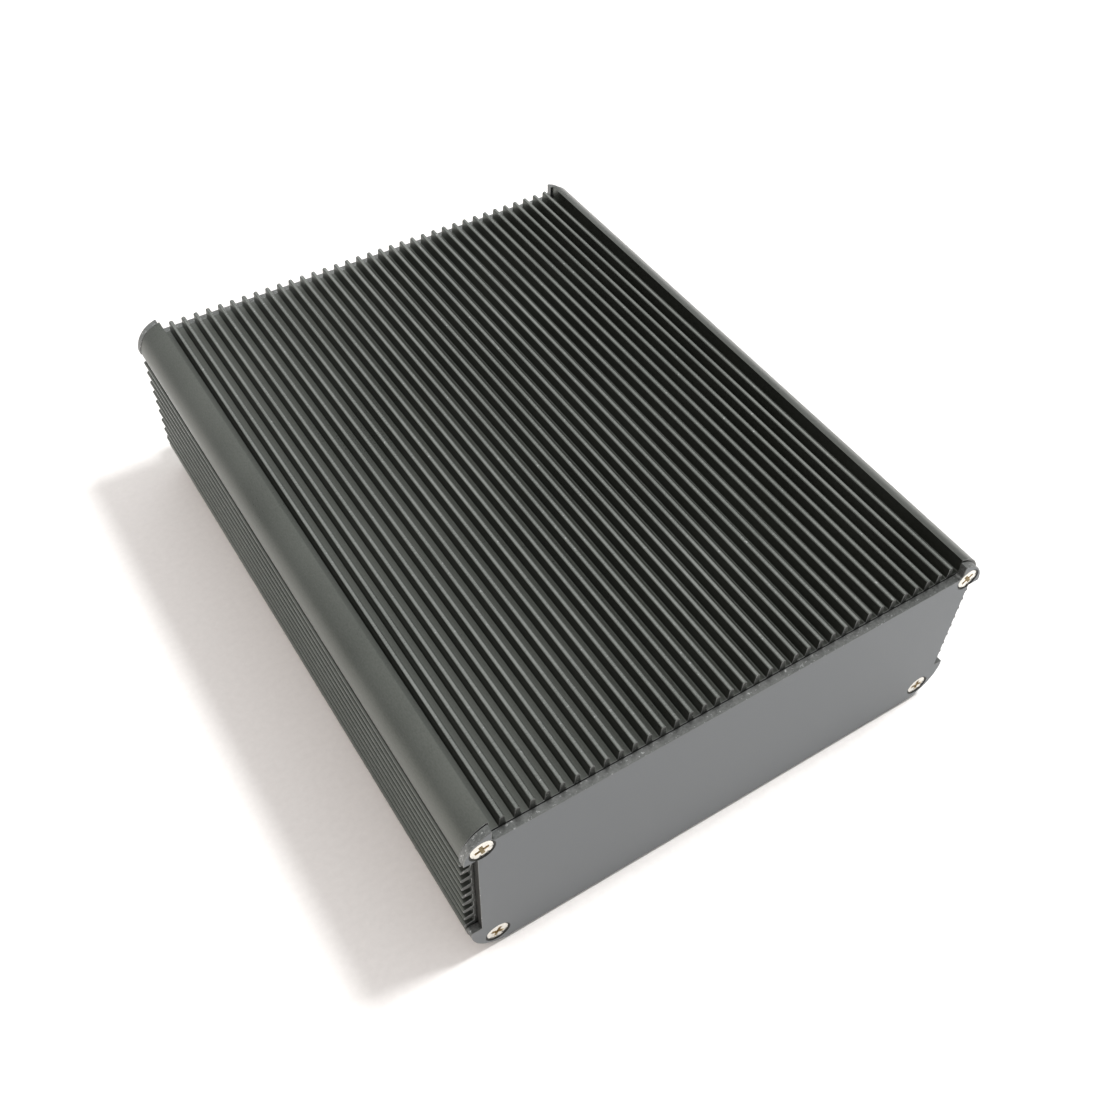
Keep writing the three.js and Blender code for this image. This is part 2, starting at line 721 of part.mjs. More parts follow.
function addResistor() {
  const { x, y, w, l, h } = RESISTOR;
  const z0 = POWER_TOP + SEAT;
  const section = shapeOf(chamferedRect(x - w / 2, x + w / 2, z0, z0 + h, 0.8));
  addPart("brake_resistor", solid(alongY(section, y - l / 2, y + l / 2)), "ceramic");
}

function addFuse() {
  const { x, y, w, t, bodyH, bladeX, bladeHalf, bladeT, bladeZ } = FUSE;
  const holder = FUSE_HOLDER;
  const z0 = POWER_TOP + SEAT;
  const zTop = z0 + holder.h;
  const block = box(x - holder.w / 2, x + holder.w / 2, y - holder.t / 2, y + holder.t / 2, z0, zTop);
  const halfW = w / 2 + holder.gap;
  const halfT = t / 2 + holder.gap;
  const pocket = box(x - halfW, x + halfW, y - halfT, y + halfT, zTop - holder.pocket, zTop + 1);
  const centres = [x - bladeX, x + bladeX];
  const { slotHalf, slotT, slotZ } = holder;
  const slots = centres.map((cx) => box(cx - slotHalf, cx + slotHalf, y - slotT, y + slotT, z0 + slotZ, zTop - 1));
  addPart("fuse_holder", cut(solid(block), [pocket, ...slots]), "plastic");
  const bodyZ = zTop - holder.seat;
  const cap = alongY(shapeOf(chamferedRect(x - w / 2, x + w / 2, bodyZ, bodyZ + bodyH, 1.0)), y - t / 2, y + t / 2);
  const blades = centres.map((cx) => {
    return box(cx - bladeHalf, cx + bladeHalf, y - bladeT, y + bladeT, z0 + bladeZ, bodyZ + 1);
  });
  addPart("fuse", union([cap, ...blades]), "amber");
}

function addControlChip() {
  const { x, y, half, h, footReach, footH, lift } = CHIP;
  const z0 = CONTROL_TOP + SEAT;
  const body = alongZ(shapeOf(chamferedRect(x - half, x + half, y - half, y + half, 0.6)), z0 + lift, z0 + h);
  const reach = half + footReach;
  const feet = box(x - reach, x + reach, y - reach, y + reach, z0, z0 + footH);
  addPart("control_chip", union([body, feet]), "plastic");
}

// ---------- rear connectors ----------

function poleXs(terminal) {
  const xs = [];
  for (let i = 0; i < terminal.poles; i += 1) {
    xs.push(terminal.x + (i - (terminal.poles - 1) / 2) * POLE_PITCH);
  }
  return xs;
}

function terminalHeader(terminal) {
  const half = terminalWidth(terminal) / 2;
  const z0 = POWER_TOP + SEAT;
  const z1 = z0 + HEADER_H;
  const zMid = (z0 + z1) / 2;
  const inner = half - HEADER_WALL;
  const shell = box(terminal.x - half, terminal.x + half, HEADER_BACK_Y, HEADER_FACE_Y, z0, z1);
  const cavity = box(
    terminal.x - inner,
    terminal.x + inner,
    HEADER_BACK_Y + HEADER_FLOOR,
    HEADER_FACE_Y + 1,
    z0 + HEADER_WALL,
    z1 - HEADER_WALL,
  );
  const { half: pin, short } = HEADER_PIN;
  const pins = poleXs(terminal).map((x) => {
    return solid(box(x - pin, x + pin, HEADER_BACK_Y + 1, HEADER_FACE_Y - short, zMid - pin, zMid + pin));
  });
  return pins.reduce((a, b) => a.add(b), cut(solid(shell), [cavity]));
}

function plugHandle(terminal, z0, z1) {
  const half = terminalWidth(terminal) / 2 - PLUG_SIDE;
  const back = HEADER_FACE_Y + PLUG_GAP;
  const side = shapeOf([
    [back, z0],
    [PLUG_FACE_Y - PLUG_LIP.low, z0],
    [PLUG_FACE_Y, z0 + PLUG_LIP.low],
    [PLUG_FACE_Y, z1 - PLUG_LIP.high],
    [PLUG_FACE_Y - PLUG_LIP.high, z1 + PLUG_LIP.rise],
    [back, z1 + PLUG_LIP.rise],
  ]);
  return alongX(side, terminal.x - half, terminal.x + half);
}

function plugHoles(x, zMid) {
  const pin = PLUG_PIN_HALF;
  const slot = DRIVER_SLOT;
  const wire = shapeOf(circle(x, zMid - WIRE_HOLE.drop, WIRE_HOLE.r, 10));
  return [
    box(x - pin, x + pin, 0, HEADER_FACE_Y - 1, zMid - pin, zMid + pin),
    alongY(wire, PLUG_FACE_Y - WIRE_HOLE.depth, PLUG_FACE_Y + 1),
    box(x - slot.half, x + slot.half, PLUG_FACE_Y - slot.depth, PLUG_FACE_Y + 1, zMid + slot.from, zMid + slot.to),
  ];
}

function terminalPlug(terminal) {
  const z0 = POWER_TOP + SEAT;
  const z1 = z0 + HEADER_H;
  const inset = HEADER_WALL + PLUG_GAP;
  const half = terminalWidth(terminal) / 2 - inset;
  const noseBack = HEADER_BACK_Y + HEADER_FLOOR + PLUG_GAP;
  const nose = box(terminal.x - half, terminal.x + half, noseBack, PLUG_NOSE_Y, z0 + inset, z1 - inset);
  const holes = poleXs(terminal).flatMap((x) => plugHoles(x, (z0 + z1) / 2));
  return cut(union([nose, plugHandle(terminal, z0, z1)]), holes);
}

function addTerminals() {
  addPart("power_header", terminalHeader(POWER_TERMINAL), "green");
  addPart("motor_header", terminalHeader(MOTOR_TERMINAL), "green");
  addPart("power_plug", terminalPlug(POWER_TERMINAL), "green");
  addPart("motor_plug", terminalPlug(MOTOR_TERMINAL), "green");
}

function dSocket({ x, shellW, lock, flangeW, rows }) {
  const z0 = CONTROL_TOP + SEAT;
  const half = flangeW / 2;
  const bodyHalf = lock - DSUB_BODY_SIDE;
  const seamY = DSUB_FLANGE_Y + DSUB_FLANGE_T / 2;
  const pieces = [
    box(x - half, x + half, DSUB_FLANGE_Y, DSUB_FLANGE_Y + DSUB_FLANGE_T, z0 + 0.1, z0 + DSUB_H),
    box(x - bodyHalf, x + bodyHalf, DSUB_BACK_Y, seamY, z0, z0 + DSUB_H - 1),
    alongY(shapeOf(dShape(x, DSUB_Z, shellW, DSUB_SHELL_H, 0)), seamY, DSUB_FACE_Y),
  ];
  const holes = [];
  for (const side of [-1, 1]) {
    const lx = x + side * lock;
    pieces.push(alongY(shapeOf(hexagon(lx, DSUB_Z, LOCK.flat)), LOCK.back, LOCK.reach));
    holes.push(alongY(shapeOf(circle(lx, DSUB_Z, LOCK.boreR, 8)), LOCK.reach - LOCK.depth, LOCK.reach + 1));
  }
  rows.forEach((count, row) => {
    for (let i = 0; i < count; i += 1) {
      const px = x + (i - (count - 1) / 2) * CONTACT.pitch;
      const pz = DSUB_Z + (row ? -CONTACT.rowHalf : CONTACT.rowHalf);
      holes.push(alongY(shapeOf(circle(px, pz, CONTACT.r, 6)), DSUB_FACE_Y - CONTACT.depth, DSUB_FACE_Y + 1));
    }
  });
  return cut(union(pieces), holes);
}

function addSockets() {
  addPart("encoder_socket", dSocket(ENCODER), "metal");
  addPart("io_socket", dSocket(IO), "metal");
}

function dipLever(lx, z) {
  const { face } = DIP;
  const { half, w, tail, head, round } = DIP_LEVER;
  const side = shapeOf([
    [face - tail, z - half],
    [face + head - round, z - half],
    [face + head, z - half + round],
    [face + head, z + half - round],
    [face + head - round, z + half],
    [face - tail, z + half],
  ]);
  return alongX(side, lx - w, lx + w);
}

function addDipSwitch() {
  const { x, ways, pitch, z1, face, back, travel } = DIP;
  const { half: leverHalf, slotW, slotDepth } = DIP_LEVER;
  const half = (ways * pitch) / 2;
  const z0 = CONTROL_TOP + SEAT;
  const zMid = (z0 + z1) / 2;
  const body = box(x - half, x + half, back, face, z0, z1);
  const slotHalf = travel / 2 + leverHalf + 0.3;
  const slots = [];
  for (let i = 0; i < ways; i += 1) {
    const lx = x + (i - (ways - 1) / 2) * pitch;
    slots.push(box(lx - slotW, lx + slotW, face - slotDepth, face + 1, zMid - slotHalf, zMid + slotHalf));
    addPart(`dip_lever_${i + 1}`, solid(dipLever(lx, zMid - travel / 2)), "white");
  }
  addPart("dip_switch", cut(solid(body), slots), "blue");
}

function addLed(name, x, colour) {
  const { z, r, root, tip, baseHalf, baseY, baseRise } = LED;
  const base = box(x - baseHalf, x + baseHalf, baseY[0], baseY[1], CONTROL_TOP + SEAT, z + baseRise);
  const lens = lathe(
    [
      [0, root],
      [r, root],
      [r, tip - 1.0],
      [r * 0.85, tip - 0.4],
      [r * 0.45, tip - 0.05],
      [0, tip],
    ],
    16,
  );
  lens.translate(x, 0, z);
  addPart(name, union([base, lens]), colour);
}

addShells();
addPlates();
addPlateScrews();
addBoards();
addPillars();
addBoardHeader();
addDevices();
addHeatPath();
addCapacitors();
addChoke();
addResistor();
addFuse();
addControlChip();
addTerminals();
addSockets();
addDipSwitch();
addLed("power_led", LED_X.power, "ledGreen");
addLed("fault_led", LED_X.fault, "ledRed");

export default group;
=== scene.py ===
"""Looks of a servo drive in a split finned aluminium case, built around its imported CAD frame.

The frame is in metres: +X across the fins, -Y the blank end, +Y the connector end, +Z up.
Every mesh here is drawn in millimetres and scaled to metres when it becomes an object.
"""
import math
import random

import bmesh
import bpy
from mathutils import Matrix, Vector
from mathutils.geometry import tessellate_polygon


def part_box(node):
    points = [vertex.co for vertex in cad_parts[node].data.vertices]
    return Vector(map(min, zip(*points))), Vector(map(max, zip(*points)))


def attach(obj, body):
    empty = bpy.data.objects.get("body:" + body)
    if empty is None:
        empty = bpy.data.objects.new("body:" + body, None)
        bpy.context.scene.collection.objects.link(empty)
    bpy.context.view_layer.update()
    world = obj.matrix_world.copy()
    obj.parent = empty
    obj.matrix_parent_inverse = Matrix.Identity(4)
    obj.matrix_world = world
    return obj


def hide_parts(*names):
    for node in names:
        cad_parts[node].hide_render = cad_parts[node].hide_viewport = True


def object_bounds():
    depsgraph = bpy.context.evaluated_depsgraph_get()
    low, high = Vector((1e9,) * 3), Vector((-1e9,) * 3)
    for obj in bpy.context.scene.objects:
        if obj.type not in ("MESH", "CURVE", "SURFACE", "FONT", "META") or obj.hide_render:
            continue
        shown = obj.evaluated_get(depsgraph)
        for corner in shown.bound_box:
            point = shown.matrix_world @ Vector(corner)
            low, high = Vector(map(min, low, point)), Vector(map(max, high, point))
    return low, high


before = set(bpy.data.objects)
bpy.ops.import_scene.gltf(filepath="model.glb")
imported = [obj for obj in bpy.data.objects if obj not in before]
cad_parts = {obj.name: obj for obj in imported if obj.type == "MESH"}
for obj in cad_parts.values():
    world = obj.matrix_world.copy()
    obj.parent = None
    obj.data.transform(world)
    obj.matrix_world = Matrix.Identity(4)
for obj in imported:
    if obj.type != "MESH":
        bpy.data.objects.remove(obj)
cad_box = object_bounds()

MM = 0.001
SHARP_ANGLE = math.radians(50)
ROUND_EDGE = 0.293

# ---------- camera ----------

CAMERA_PLACE = (-0.11945, -0.19423, 0.27389)
CAMERA_AZIMUTH = math.radians(-33.192)
CAMERA_ELEVATION = math.radians(49.429)
CAMERA_ROLL = math.radians(1.290)
CAMERA_LENS = 40.42


def add_camera():
    data = bpy.data.cameras.new("camera")
    data.lens = CAMERA_LENS
    data.sensor_width = 36.0
    data.clip_start = 0.01
    data.clip_end = 50.0
    camera = bpy.data.objects.new("camera", data)
    bpy.context.scene.collection.objects.link(camera)
    flat = math.cos(CAMERA_ELEVATION)
    aside, ahead = math.sin(CAMERA_AZIMUTH) * flat, math.cos(CAMERA_AZIMUTH) * flat
    back = Vector((aside, -ahead, math.sin(CAMERA_ELEVATION)))
    right = (-back).cross(Vector((0, 0, 1))).normalized()
    up = right.cross(-back)
    turned_right = math.cos(CAMERA_ROLL) * right + math.sin(CAMERA_ROLL) * up
    turned_up = -math.sin(CAMERA_ROLL) * right + math.cos(CAMERA_ROLL) * up
    axes = Matrix((turned_right, turned_up, back)).transposed().to_4x4()
    camera.matrix_world = Matrix.Translation(CAMERA_PLACE) @ axes
    bpy.context.scene.camera = camera


add_camera()

# ---------- materials ----------


def add_node(tree, kind, settings=None, **inputs):
    """A node with its inputs set by name, or by place as i0, i1 and so on.

    Each is set to a value or to another node's output.
    """
    made = tree.nodes.new(kind)
    for key, value in (settings or {}).items():
        setattr(made, key, value)
    for key, value in inputs.items():
        by_place = key[0] == "i" and key[1:].isdigit()
        socket = made.inputs[int(key[1:])] if by_place else made.inputs[key.replace("_", " ")]
        if isinstance(value, bpy.types.NodeSocket):
            tree.links.new(value, socket)
        else:
            socket.default_value = value
    return made


def opaque(colour):
    return (*colour, 1.0)


def mix_colours(tree, factor, first, second):
    return add_node(tree, "ShaderNodeMix", {"data_type": "RGBA"}, i0=factor, i6=first, i7=second).outputs[2]


def map_range(tree, value, low, high, to_low, to_high):
    return add_node(
        tree, "ShaderNodeMapRange", Value=value, From_Min=low, From_Max=high, To_Min=to_low, To_Max=to_high
    ).outputs[0]


def noise(tree, place, scale, detail=3.0, rough=0.6):
    made = add_node(tree, "ShaderNodeTexNoise", Vector=place, Scale=scale, Detail=detail, Roughness=rough)
    return made.outputs[0]


def surface(
    name,
    dark,
    light,
    rough,
    metallic=0.0,
    grain=2500.0,
    relief=2e-5,
    bump=0.3,
    stretch=(1, 1, 1),
    patch=30.0,
    ior=1.5,
    coat=0.0,
    clear=0.0,
    glow=0.0,
    nicks=None,
):
    """A procedural surface: fine grain in relief, colour and roughness that vary, and bright nicks if asked.

    nicks is (scale, share, colour): how fine they are, how much of the surface has them, and what they show.
    """
    material = bpy.data.materials.new(name)
    material.use_nodes = True
    tree = material.node_tree
    shader = tree.nodes["Principled BSDF"]
    place = add_node(tree, "ShaderNodeTexCoord").outputs["Object"]
    drawn = add_node(tree, "ShaderNodeVectorMath", {"operation": "MULTIPLY"}, i0=place, i1=stretch).outputs[0]
    fine = noise(tree, drawn, grain)
    broad = noise(tree, place, patch, detail=2.0)
    both = add_node(tree, "ShaderNodeMath", {"operation": "ADD"}, i0=fine, i1=broad).outputs[0]
    share = map_range(tree, both, 0.7, 1.3, 0.0, 1.0)
    colour = mix_colours(tree, share, opaque(dark), opaque(light))
    roughness = map_range(tree, both, 0.7, 1.3, rough[0], rough[1])
    if nicks:
        scale, amount, bright = nicks
        spots = noise(tree, place, scale, detail=4.0, rough=0.7)
        edge = 0.72 - 0.35 * amount
        mask = map_range(tree, spots, edge, edge + 0.06, 0.0, 1.0)
        colour = mix_colours(tree, mask, colour, opaque(bright))
        metal = map_range(tree, mask, 0.0, 1.0, metallic, 1.0)
        tree.links.new(metal, shader.inputs["Metallic"])
        roughness = add_node(tree, "ShaderNodeMix", i0=mask, i2=roughness, i3=0.3).outputs[0]
    else:
        shader.inputs["Metallic"].default_value = metallic
    tree.links.new(colour, shader.inputs["Base Color"])
    tree.links.new(roughness, shader.inputs["Roughness"])
    relief_node = add_node(tree, "ShaderNodeBump", Strength=bump, Distance=relief, Height=fine)
    tree.links.new(relief_node.outputs[0], shader.inputs["Normal"])
    shader.inputs["IOR"].default_value = ior
    shader.inputs["Coat Weight"].default_value = coat
    shader.inputs["Coat Roughness"].default_value = 0.15
    shader.inputs["Transmission Weight"].default_value = clear
    if glow:
        shader.inputs["Emission Color"].default_value = opaque(light)
        shader.inputs["Emission Strength"].default_value = glow
    return material


ALONG_FINS = (1.0, 0.03, 1.0)

LOOKS = {
    "anodised": surface(
        "anodised", (0.082, 0.088, 0.079), (0.125, 0.132, 0.120), (0.27, 0.40), metallic=0.88, grain=3200.0,
        bump=0.6, stretch=(1, 0.5, 1), patch=22.0
    ),
    "anodised_end": surface(
        "anodised_end", (0.055, 0.058, 0.054), (0.11, 0.114, 0.108), (0.38, 0.55),
        metallic=0.88, grain=2600.0,
        bump=0.8, nicks=(1100.0, 0.34, (0.5, 0.51, 0.5))
    ),
    "anodised_edge": surface(
        "anodised_edge", (0.15, 0.155, 0.15), (0.24, 0.245, 0.24), (0.3, 0.5), metallic=0.9, grain=3000.0,
        bump=0.5, nicks=(1300.0, 0.33, (0.55, 0.56, 0.55))
    ),
    # Painted highlight: a lighter stripe laid along the very tops of the fins.
    "painted_tip_highlight": surface(
        "painted_tip_highlight", (0.135, 0.145, 0.135), (0.24, 0.25, 0.235), (0.24, 0.36), metallic=0.88, grain=2200.0,
        bump=0.6, nicks=(900.0, 0.24, (0.42, 0.43, 0.42))
    ),
    # Painted shade: near-black for the upright plate flanks and the countersinks.
    "anodised_painted_shade": surface(
        "anodised_painted_shade", (0.022, 0.022, 0.020), (0.050, 0.050, 0.046), (0.4, 0.6), metallic=0.6, grain=2600.0,
        bump=0.8
    ),
    "plate": surface(
        "plate", (0.131, 0.141, 0.148), (0.158, 0.169, 0.177), (0.40, 0.50), metallic=0.88, grain=6500.0,
        bump=0.35, patch=14.0
    ),
    "plate_side": surface(
        "plate_side", (0.11, 0.116, 0.112), (0.27, 0.277, 0.27), (0.4, 0.6), metallic=0.9, grain=1500.0,
        bump=0.9, relief=5e-5, nicks=(1200.0, 0.34, (0.5, 0.51, 0.5))
    ),
    "screw": surface(
        "screw", (0.62, 0.60, 0.55), (0.80, 0.78, 0.72), (0.18, 0.32), metallic=1.0, grain=2600.0, bump=0.25,
        patch=400.0
    ),
    "screw_recess": surface(
        "screw_recess", (0.40, 0.31, 0.17), (0.72, 0.60, 0.40), (0.3, 0.5),
        metallic=0.9, grain=2600.0, bump=0.5,
        patch=900.0
    ),
    "laminate": surface(
        "laminate", (0.010, 0.055, 0.028), (0.018, 0.085, 0.042), (0.28, 0.4), grain=1400.0, bump=0.2,
        patch=90.0, coat=0.3
    ),
    "brass": surface(
        "brass", (0.55, 0.40, 0.17), (0.75, 0.58, 0.28), (0.2, 0.35), metallic=1.0, grain=3000.0
    ),
    "gold": surface("gold", (0.80, 0.57, 0.22), (0.92, 0.70, 0.32), (0.15, 0.28), metallic=1.0, grain=4000.0),
    "black_plastic": surface(
        "black_plastic", (0.010, 0.010, 0.011), (0.022, 0.022, 0.024), (0.4, 0.55), grain=3500.0, bump=0.5
    ),
    "mould_compound": surface(
        "mould_compound", (0.012, 0.012, 0.013), (0.026, 0.026, 0.028), (0.5, 0.65), grain=4200.0, bump=0.7
    ),
    "terminal_green": surface(
        "terminal_green", (0.022, 0.19, 0.065), (0.035, 0.27, 0.095), (0.35, 0.48), grain=3200.0, bump=0.35
    ),
    "bare_aluminium": surface(
        "bare_aluminium", (0.52, 0.53, 0.54), (0.70, 0.71, 0.72), (0.28, 0.45), metallic=1.0, grain=3000.0,
        stretch=ALONG_FINS, bump=0.5
    ),
    "tinned_steel": surface(
        "tinned_steel", (0.50, 0.51, 0.51), (0.68, 0.68, 0.68), (0.2, 0.36), metallic=1.0, grain=2600.0
    ),
    "can_sleeve": surface(
        "can_sleeve", (0.012, 0.018, 0.045), (0.020, 0.028, 0.065), (0.2, 0.32), grain=900.0, coat=0.4
    ),
    "ferrite": surface(
        "ferrite", (0.035, 0.037, 0.036), (0.075, 0.078, 0.074), (0.65, 0.85),
        grain=2600.0, bump=1.0, relief=6e-5
    ),
    "enamelled_copper": surface(
        "enamelled_copper", (0.50, 0.16, 0.05), (0.68, 0.26, 0.09), (0.2, 0.32),
        metallic=0.9, grain=1800.0, coat=0.5
    ),
    "cement": surface(
        "cement", (0.52, 0.50, 0.44), (0.74, 0.72, 0.66), (0.75, 0.95), grain=1700.0, bump=1.0, relief=1e-4
    ),
    "gap_pad": surface(
        "gap_pad", (0.20, 0.27, 0.36), (0.27, 0.35, 0.44), (0.75, 0.9), grain=2000.0, bump=0.8, relief=5e-5
    ),
    "fuse_amber": surface(
        "fuse_amber", (0.62, 0.20, 0.02), (0.78, 0.30, 0.04), (0.15, 0.25), grain=1200.0, clear=0.55, ior=1.5
    ),
    "switch_blue": surface(
        "switch_blue", (0.015, 0.05, 0.22), (0.025, 0.075, 0.30), (0.35, 0.5), grain=3500.0
    ),
    "lever_white": surface("lever_white", (0.66, 0.65, 0.61), (0.80, 0.79, 0.75), (0.35, 0.5), grain=3500.0),
    "lens_green": surface(
        "lens_green", (0.05, 0.42, 0.10), (0.09, 0.55, 0.15), (0.1, 0.2), clear=0.4, glow=0.15
    ),
    "lens_red": surface("lens_red", (0.45, 0.02, 0.015), (0.60, 0.04, 0.03), (0.1, 0.2), clear=0.4),
    "chip_ceramic": surface(
        "chip_ceramic", (0.30, 0.23, 0.16), (0.45, 0.36, 0.27), (0.5, 0.7), grain=5000.0, patch=300.0
    ),
    "film_box": surface("film_box", (0.45, 0.30, 0.02), (0.60, 0.42, 0.05), (0.3, 0.45), grain=2500.0),
    "floor": surface(
        "floor", (0.80, 0.80, 0.80), (0.86, 0.86, 0.86), (0.6, 0.75), grain=600.0, bump=0.05, patch=3.0
    ),
}

# ---------- drawing in millimetres ----------

AXES = {
    "x": lambda u, v, w: (w, u, v),
    "y": lambda u, v, w: (u, w, v),
    "z": lambda u, v, w: (u, v, w),
}


def arc(cu, cv, r, start, end, steps):
    angles = [math.radians(start + (end - start) * i / steps) for i in range(steps + 1)]
    return [(cu + r * math.cos(a), cv + r * math.sin(a)) for a in angles]


def circle(cu, cv, r, steps=32):
    return arc(cu, cv, r, 0, 360 - 360 / steps, steps - 1)


def rounded(u0, u1, v0, v1, r, steps=3):
    """A rectangle with round corners, anticlockwise."""
    return [
        *arc(u1 - r, v0 + r, r, -90, 0, steps),
        *arc(u1 - r, v1 - r, r, 0, 90, steps),
        *arc(u0 + r, v1 - r, r, 90, 180, steps),
        *arc(u0 + r, v0 + r, r, 180, 270, steps),
    ]


def area(points):
    following = points[1:] + points[:1]
    return sum(a[0] * b[1] - b[0] * a[1] for a, b in zip(points, following)) / 2


def inset(points, depth):
    """The closed outline moved inwards by depth, with limited mitres."""
    if not depth:
        return list(points)
    turn = 1.0 if area(points) > 0 else -1.0
    moved = []
    for i, point in enumerate(points):
        here = Vector(point)
        before = (here - Vector(points[i - 1])).normalized()
        after = (Vector(points[(i + 1) % len(points)]) - here).normalized()
        first = Vector((-before.y, before.x)) * turn
        second = Vector((-after.y, after.x)) * turn
        along = (first + second) / max(0.35, 1 + first.dot(second))
        moved.append(tuple(here + along * depth))
    return moved


class Drawing:
    """A mesh drawn in millimetres, with a material number on each face."""

    def __init__(self):
        self.mesh = bmesh.new()

    def face(self, corners, look):
        made = self.mesh.faces.new(corners)
        made.material_index = look
        return made

    def bridge(self, first, second, look):
        count = len(first)
        for i in range(count):
            j = (i + 1) % count
            self.face((first[i], first[j], second[j], second[i]), look)

    def prism(self, outline, low, high, axis="y", holes=(), bevel=0.0, looks=(0, 0, 0)):
        """The outline run along an axis, with round edges at both ends.

        looks are the material numbers of the sides, the ends and the edges.
        """
        place = AXES[axis]
        side_look, end_look, edge_look = looks
        levels = [(low, 0.0), (high, 0.0)]
        if bevel:
            soft = ROUND_EDGE * bevel
            levels = [
                (low, bevel),
                (low + soft, soft),
                (low + bevel, 0.0),
                (high - bevel, 0.0),
                (high - soft, soft),
                (high, bevel),
            ]
        loops = [outline, *holes]
        ends = []
        for number, loop in enumerate(loops):
            sign = 1 if number == 0 else -1
            rings = []
            for w, depth in levels:
                shifted = inset(loop, sign * depth)
                rings.append([self.mesh.verts.new(place(u, v, w)) for u, v in shifted])
            for k in range(len(rings) - 1):
                flat = levels[k][1] == 0.0 and levels[k + 1][1] == 0.0
                self.bridge(rings[k], rings[k + 1], side_look if flat else edge_look)
            ends.append((rings[0], rings[-1]))
        for end in (0, 1):
            rings = [pair[end] for pair in ends]
            corners = [vertex for ring in rings for vertex in ring]
            flat_loops = [[Vector((v.co.x, v.co.y, v.co.z)) for v in ring] for ring in rings]
            for triangle in tessellate_polygon(flat_loops):
                self.face([corners[i] for i in triangle], end_look)
        return self

    def lathe(self, profile, centre, axis="y", segments=48, looks=None):
        """A profile of (radius, distance along the axis) turned round the axis, with both its ends on it."""
        place = AXES[axis]
        cu, cv, cw = centre
        rings = []
        for r, w in profile:
            if r < 1e-6:
                rings.append([self.mesh.verts.new(place(cu, cv, cw + w))])
                continue
            rings.append([self.mesh.verts.new(place(u, v, cw + w)) for u, v in circle(cu, cv, r, segments)])
        for k in range(len(rings) - 1):
            first, second = rings[k], rings[k + 1]
            look = looks[k] if looks else 0
            if len(first) == 1:
                for i in range(segments):
                    self.face((first[0], second[i], second[(i + 1) % segments]), look)
            elif len(second) == 1:
                for i in range(segments):
                    self.face((second[0], first[i], first[(i + 1) % segments]), look)
            else:
                self.bridge(first, second, look)
        return self

    def block(self, x, y, z, r=0.2, bevel=0.12, look=0, axis="z"):
        """A block with every edge rounded. x, y and z are (low, high)."""
        spans = {"x": (y, z, x), "y": (x, z, y), "z": (x, y, z)}[axis]
        (u0, u1), (v0, v1), (w0, w1) = spans
        return self.prism(rounded(u0, u1, v0, v1, r), w0, w1, axis, bevel=bevel, looks=(look, look, look))

    def tube(self, points, r, look=0, sides=8):
        """A round wire through the points, closed at both ends."""
        points = [Vector(p) for p in points]
        rings = []
        side = None
        for i, point in enumerate(points):
            ahead = points[min(i + 1, len(points) - 1)] - points[max(i - 1, 0)]
            ahead.normalize()
            if side is None:
                side = ahead.orthogonal().normalized()
            side = (side - ahead * side.dot(ahead)).normalized()
            across = ahead.cross(side)
            ring = []
            for k in range(sides):
                a = 2 * math.pi * k / sides
                ring.append(self.mesh.verts.new(point + (side * math.cos(a) + across * math.sin(a)) * r))
            rings.append(ring)
        for first, second in zip(rings, rings[1:]):
            self.bridge(first, second, look)
        self.face(rings[0], look)
        self.face(rings[-1], look)
        return self

    def paint(self, test, look):
        """Gives a look to the faces whose centre and normal pass the test."""
        self.mesh.normal_update()
        for made in self.mesh.faces:
            if test(made.calc_center_median(), made.normal):
                made.material_index = look
        return self

    def to_object(self, name, looks):
        bmesh.ops.remove_doubles(self.mesh, verts=self.mesh.verts, dist=1e-5)
        bmesh.ops.recalc_face_normals(self.mesh, faces=self.mesh.faces)
        data = bpy.data.meshes.new(name)
        self.mesh.to_mesh(data)
        self.mesh.free()
        for look in looks:
            data.materials.append(LOOKS[look])
        made = bpy.data.objects.new(name, data)
        bpy.context.scene.collection.objects.link(made)
        return made


def carve(made, cutter):
    """Takes the cutter's solid out of the object, both still in millimetres."""
    change = made.modifiers.new("carve", "BOOLEAN")
    change.operation = "DIFFERENCE"
    change.solver = "EXACT"
    change.object = cutter
    cut = bpy.data.meshes.new_from_object(made.evaluated_get(bpy.context.evaluated_depsgraph_get()))
    made.modifiers.clear()
    made.data = cut
    bpy.data.objects.remove(cutter)


def weigh_normals(made):
    change = made.modifiers.new("normals", "WEIGHTED_NORMAL")
    change.keep_sharp = True
    change.weight = 80


def finish_piece(made, body, replaces=()):
    """Scales a drawn object to metres, smooths it, and fastens it to its body."""
    made.data.transform(Matrix.Scale(MM, 4))
    made.data.shade_smooth()
    made.data.set_sharp_from_angle(angle=SHARP_ANGLE)
    weigh_normals(made)
    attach(made, body)
    if replaces:
        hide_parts(*replaces)
    return made


def piece(name, drawing, looks, body, replaces=()):
    return finish_piece(drawing.to_object(name, looks), body, replaces)


def span(node):
    """The low and high corner of a CAD node in millimetres."""
    low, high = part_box(node)
    return low / MM, high / MM


# ---------- case ----------

SHELL_LOW, SHELL_HIGH = span("upper_shell")
FIN_COUNT = 35
FIN_PITCH = 3.6
FIN_TOP = 53.15
GROOVE = 50.0
TIP_HALF = 0.62
ROOT_HALF = 0.76
TIP_RISE = 0.6
ROOT_FILLET = 0.28
SIDE_FIN_COUNT = 9
SIDE_FIN_PITCH = 3.65
SIDE_FIN_FIRST = 42.3
SIDE_TIP_X = 71.5
SIDE_WALL_X = 69.0
LOBE_INNER_X = 64.3
CUT_EDGE = 0.12
LOBE_STEPS = 40
UPPER_LOBE_X, UPPER_LOBE_Z, UPPER_LOBE_R = 62.4, 45.2, 9.0
UPPER_LOBE_FROM, UPPER_LOBE_TO = 77.8, 3.2
LOBE_UNDER = 45.4
SEAM_Z = 44.9
TONGUE_OUTER_X, TONGUE_FLAT_X, TONGUE_INNER_X = 66.6, 66.2, 64.8
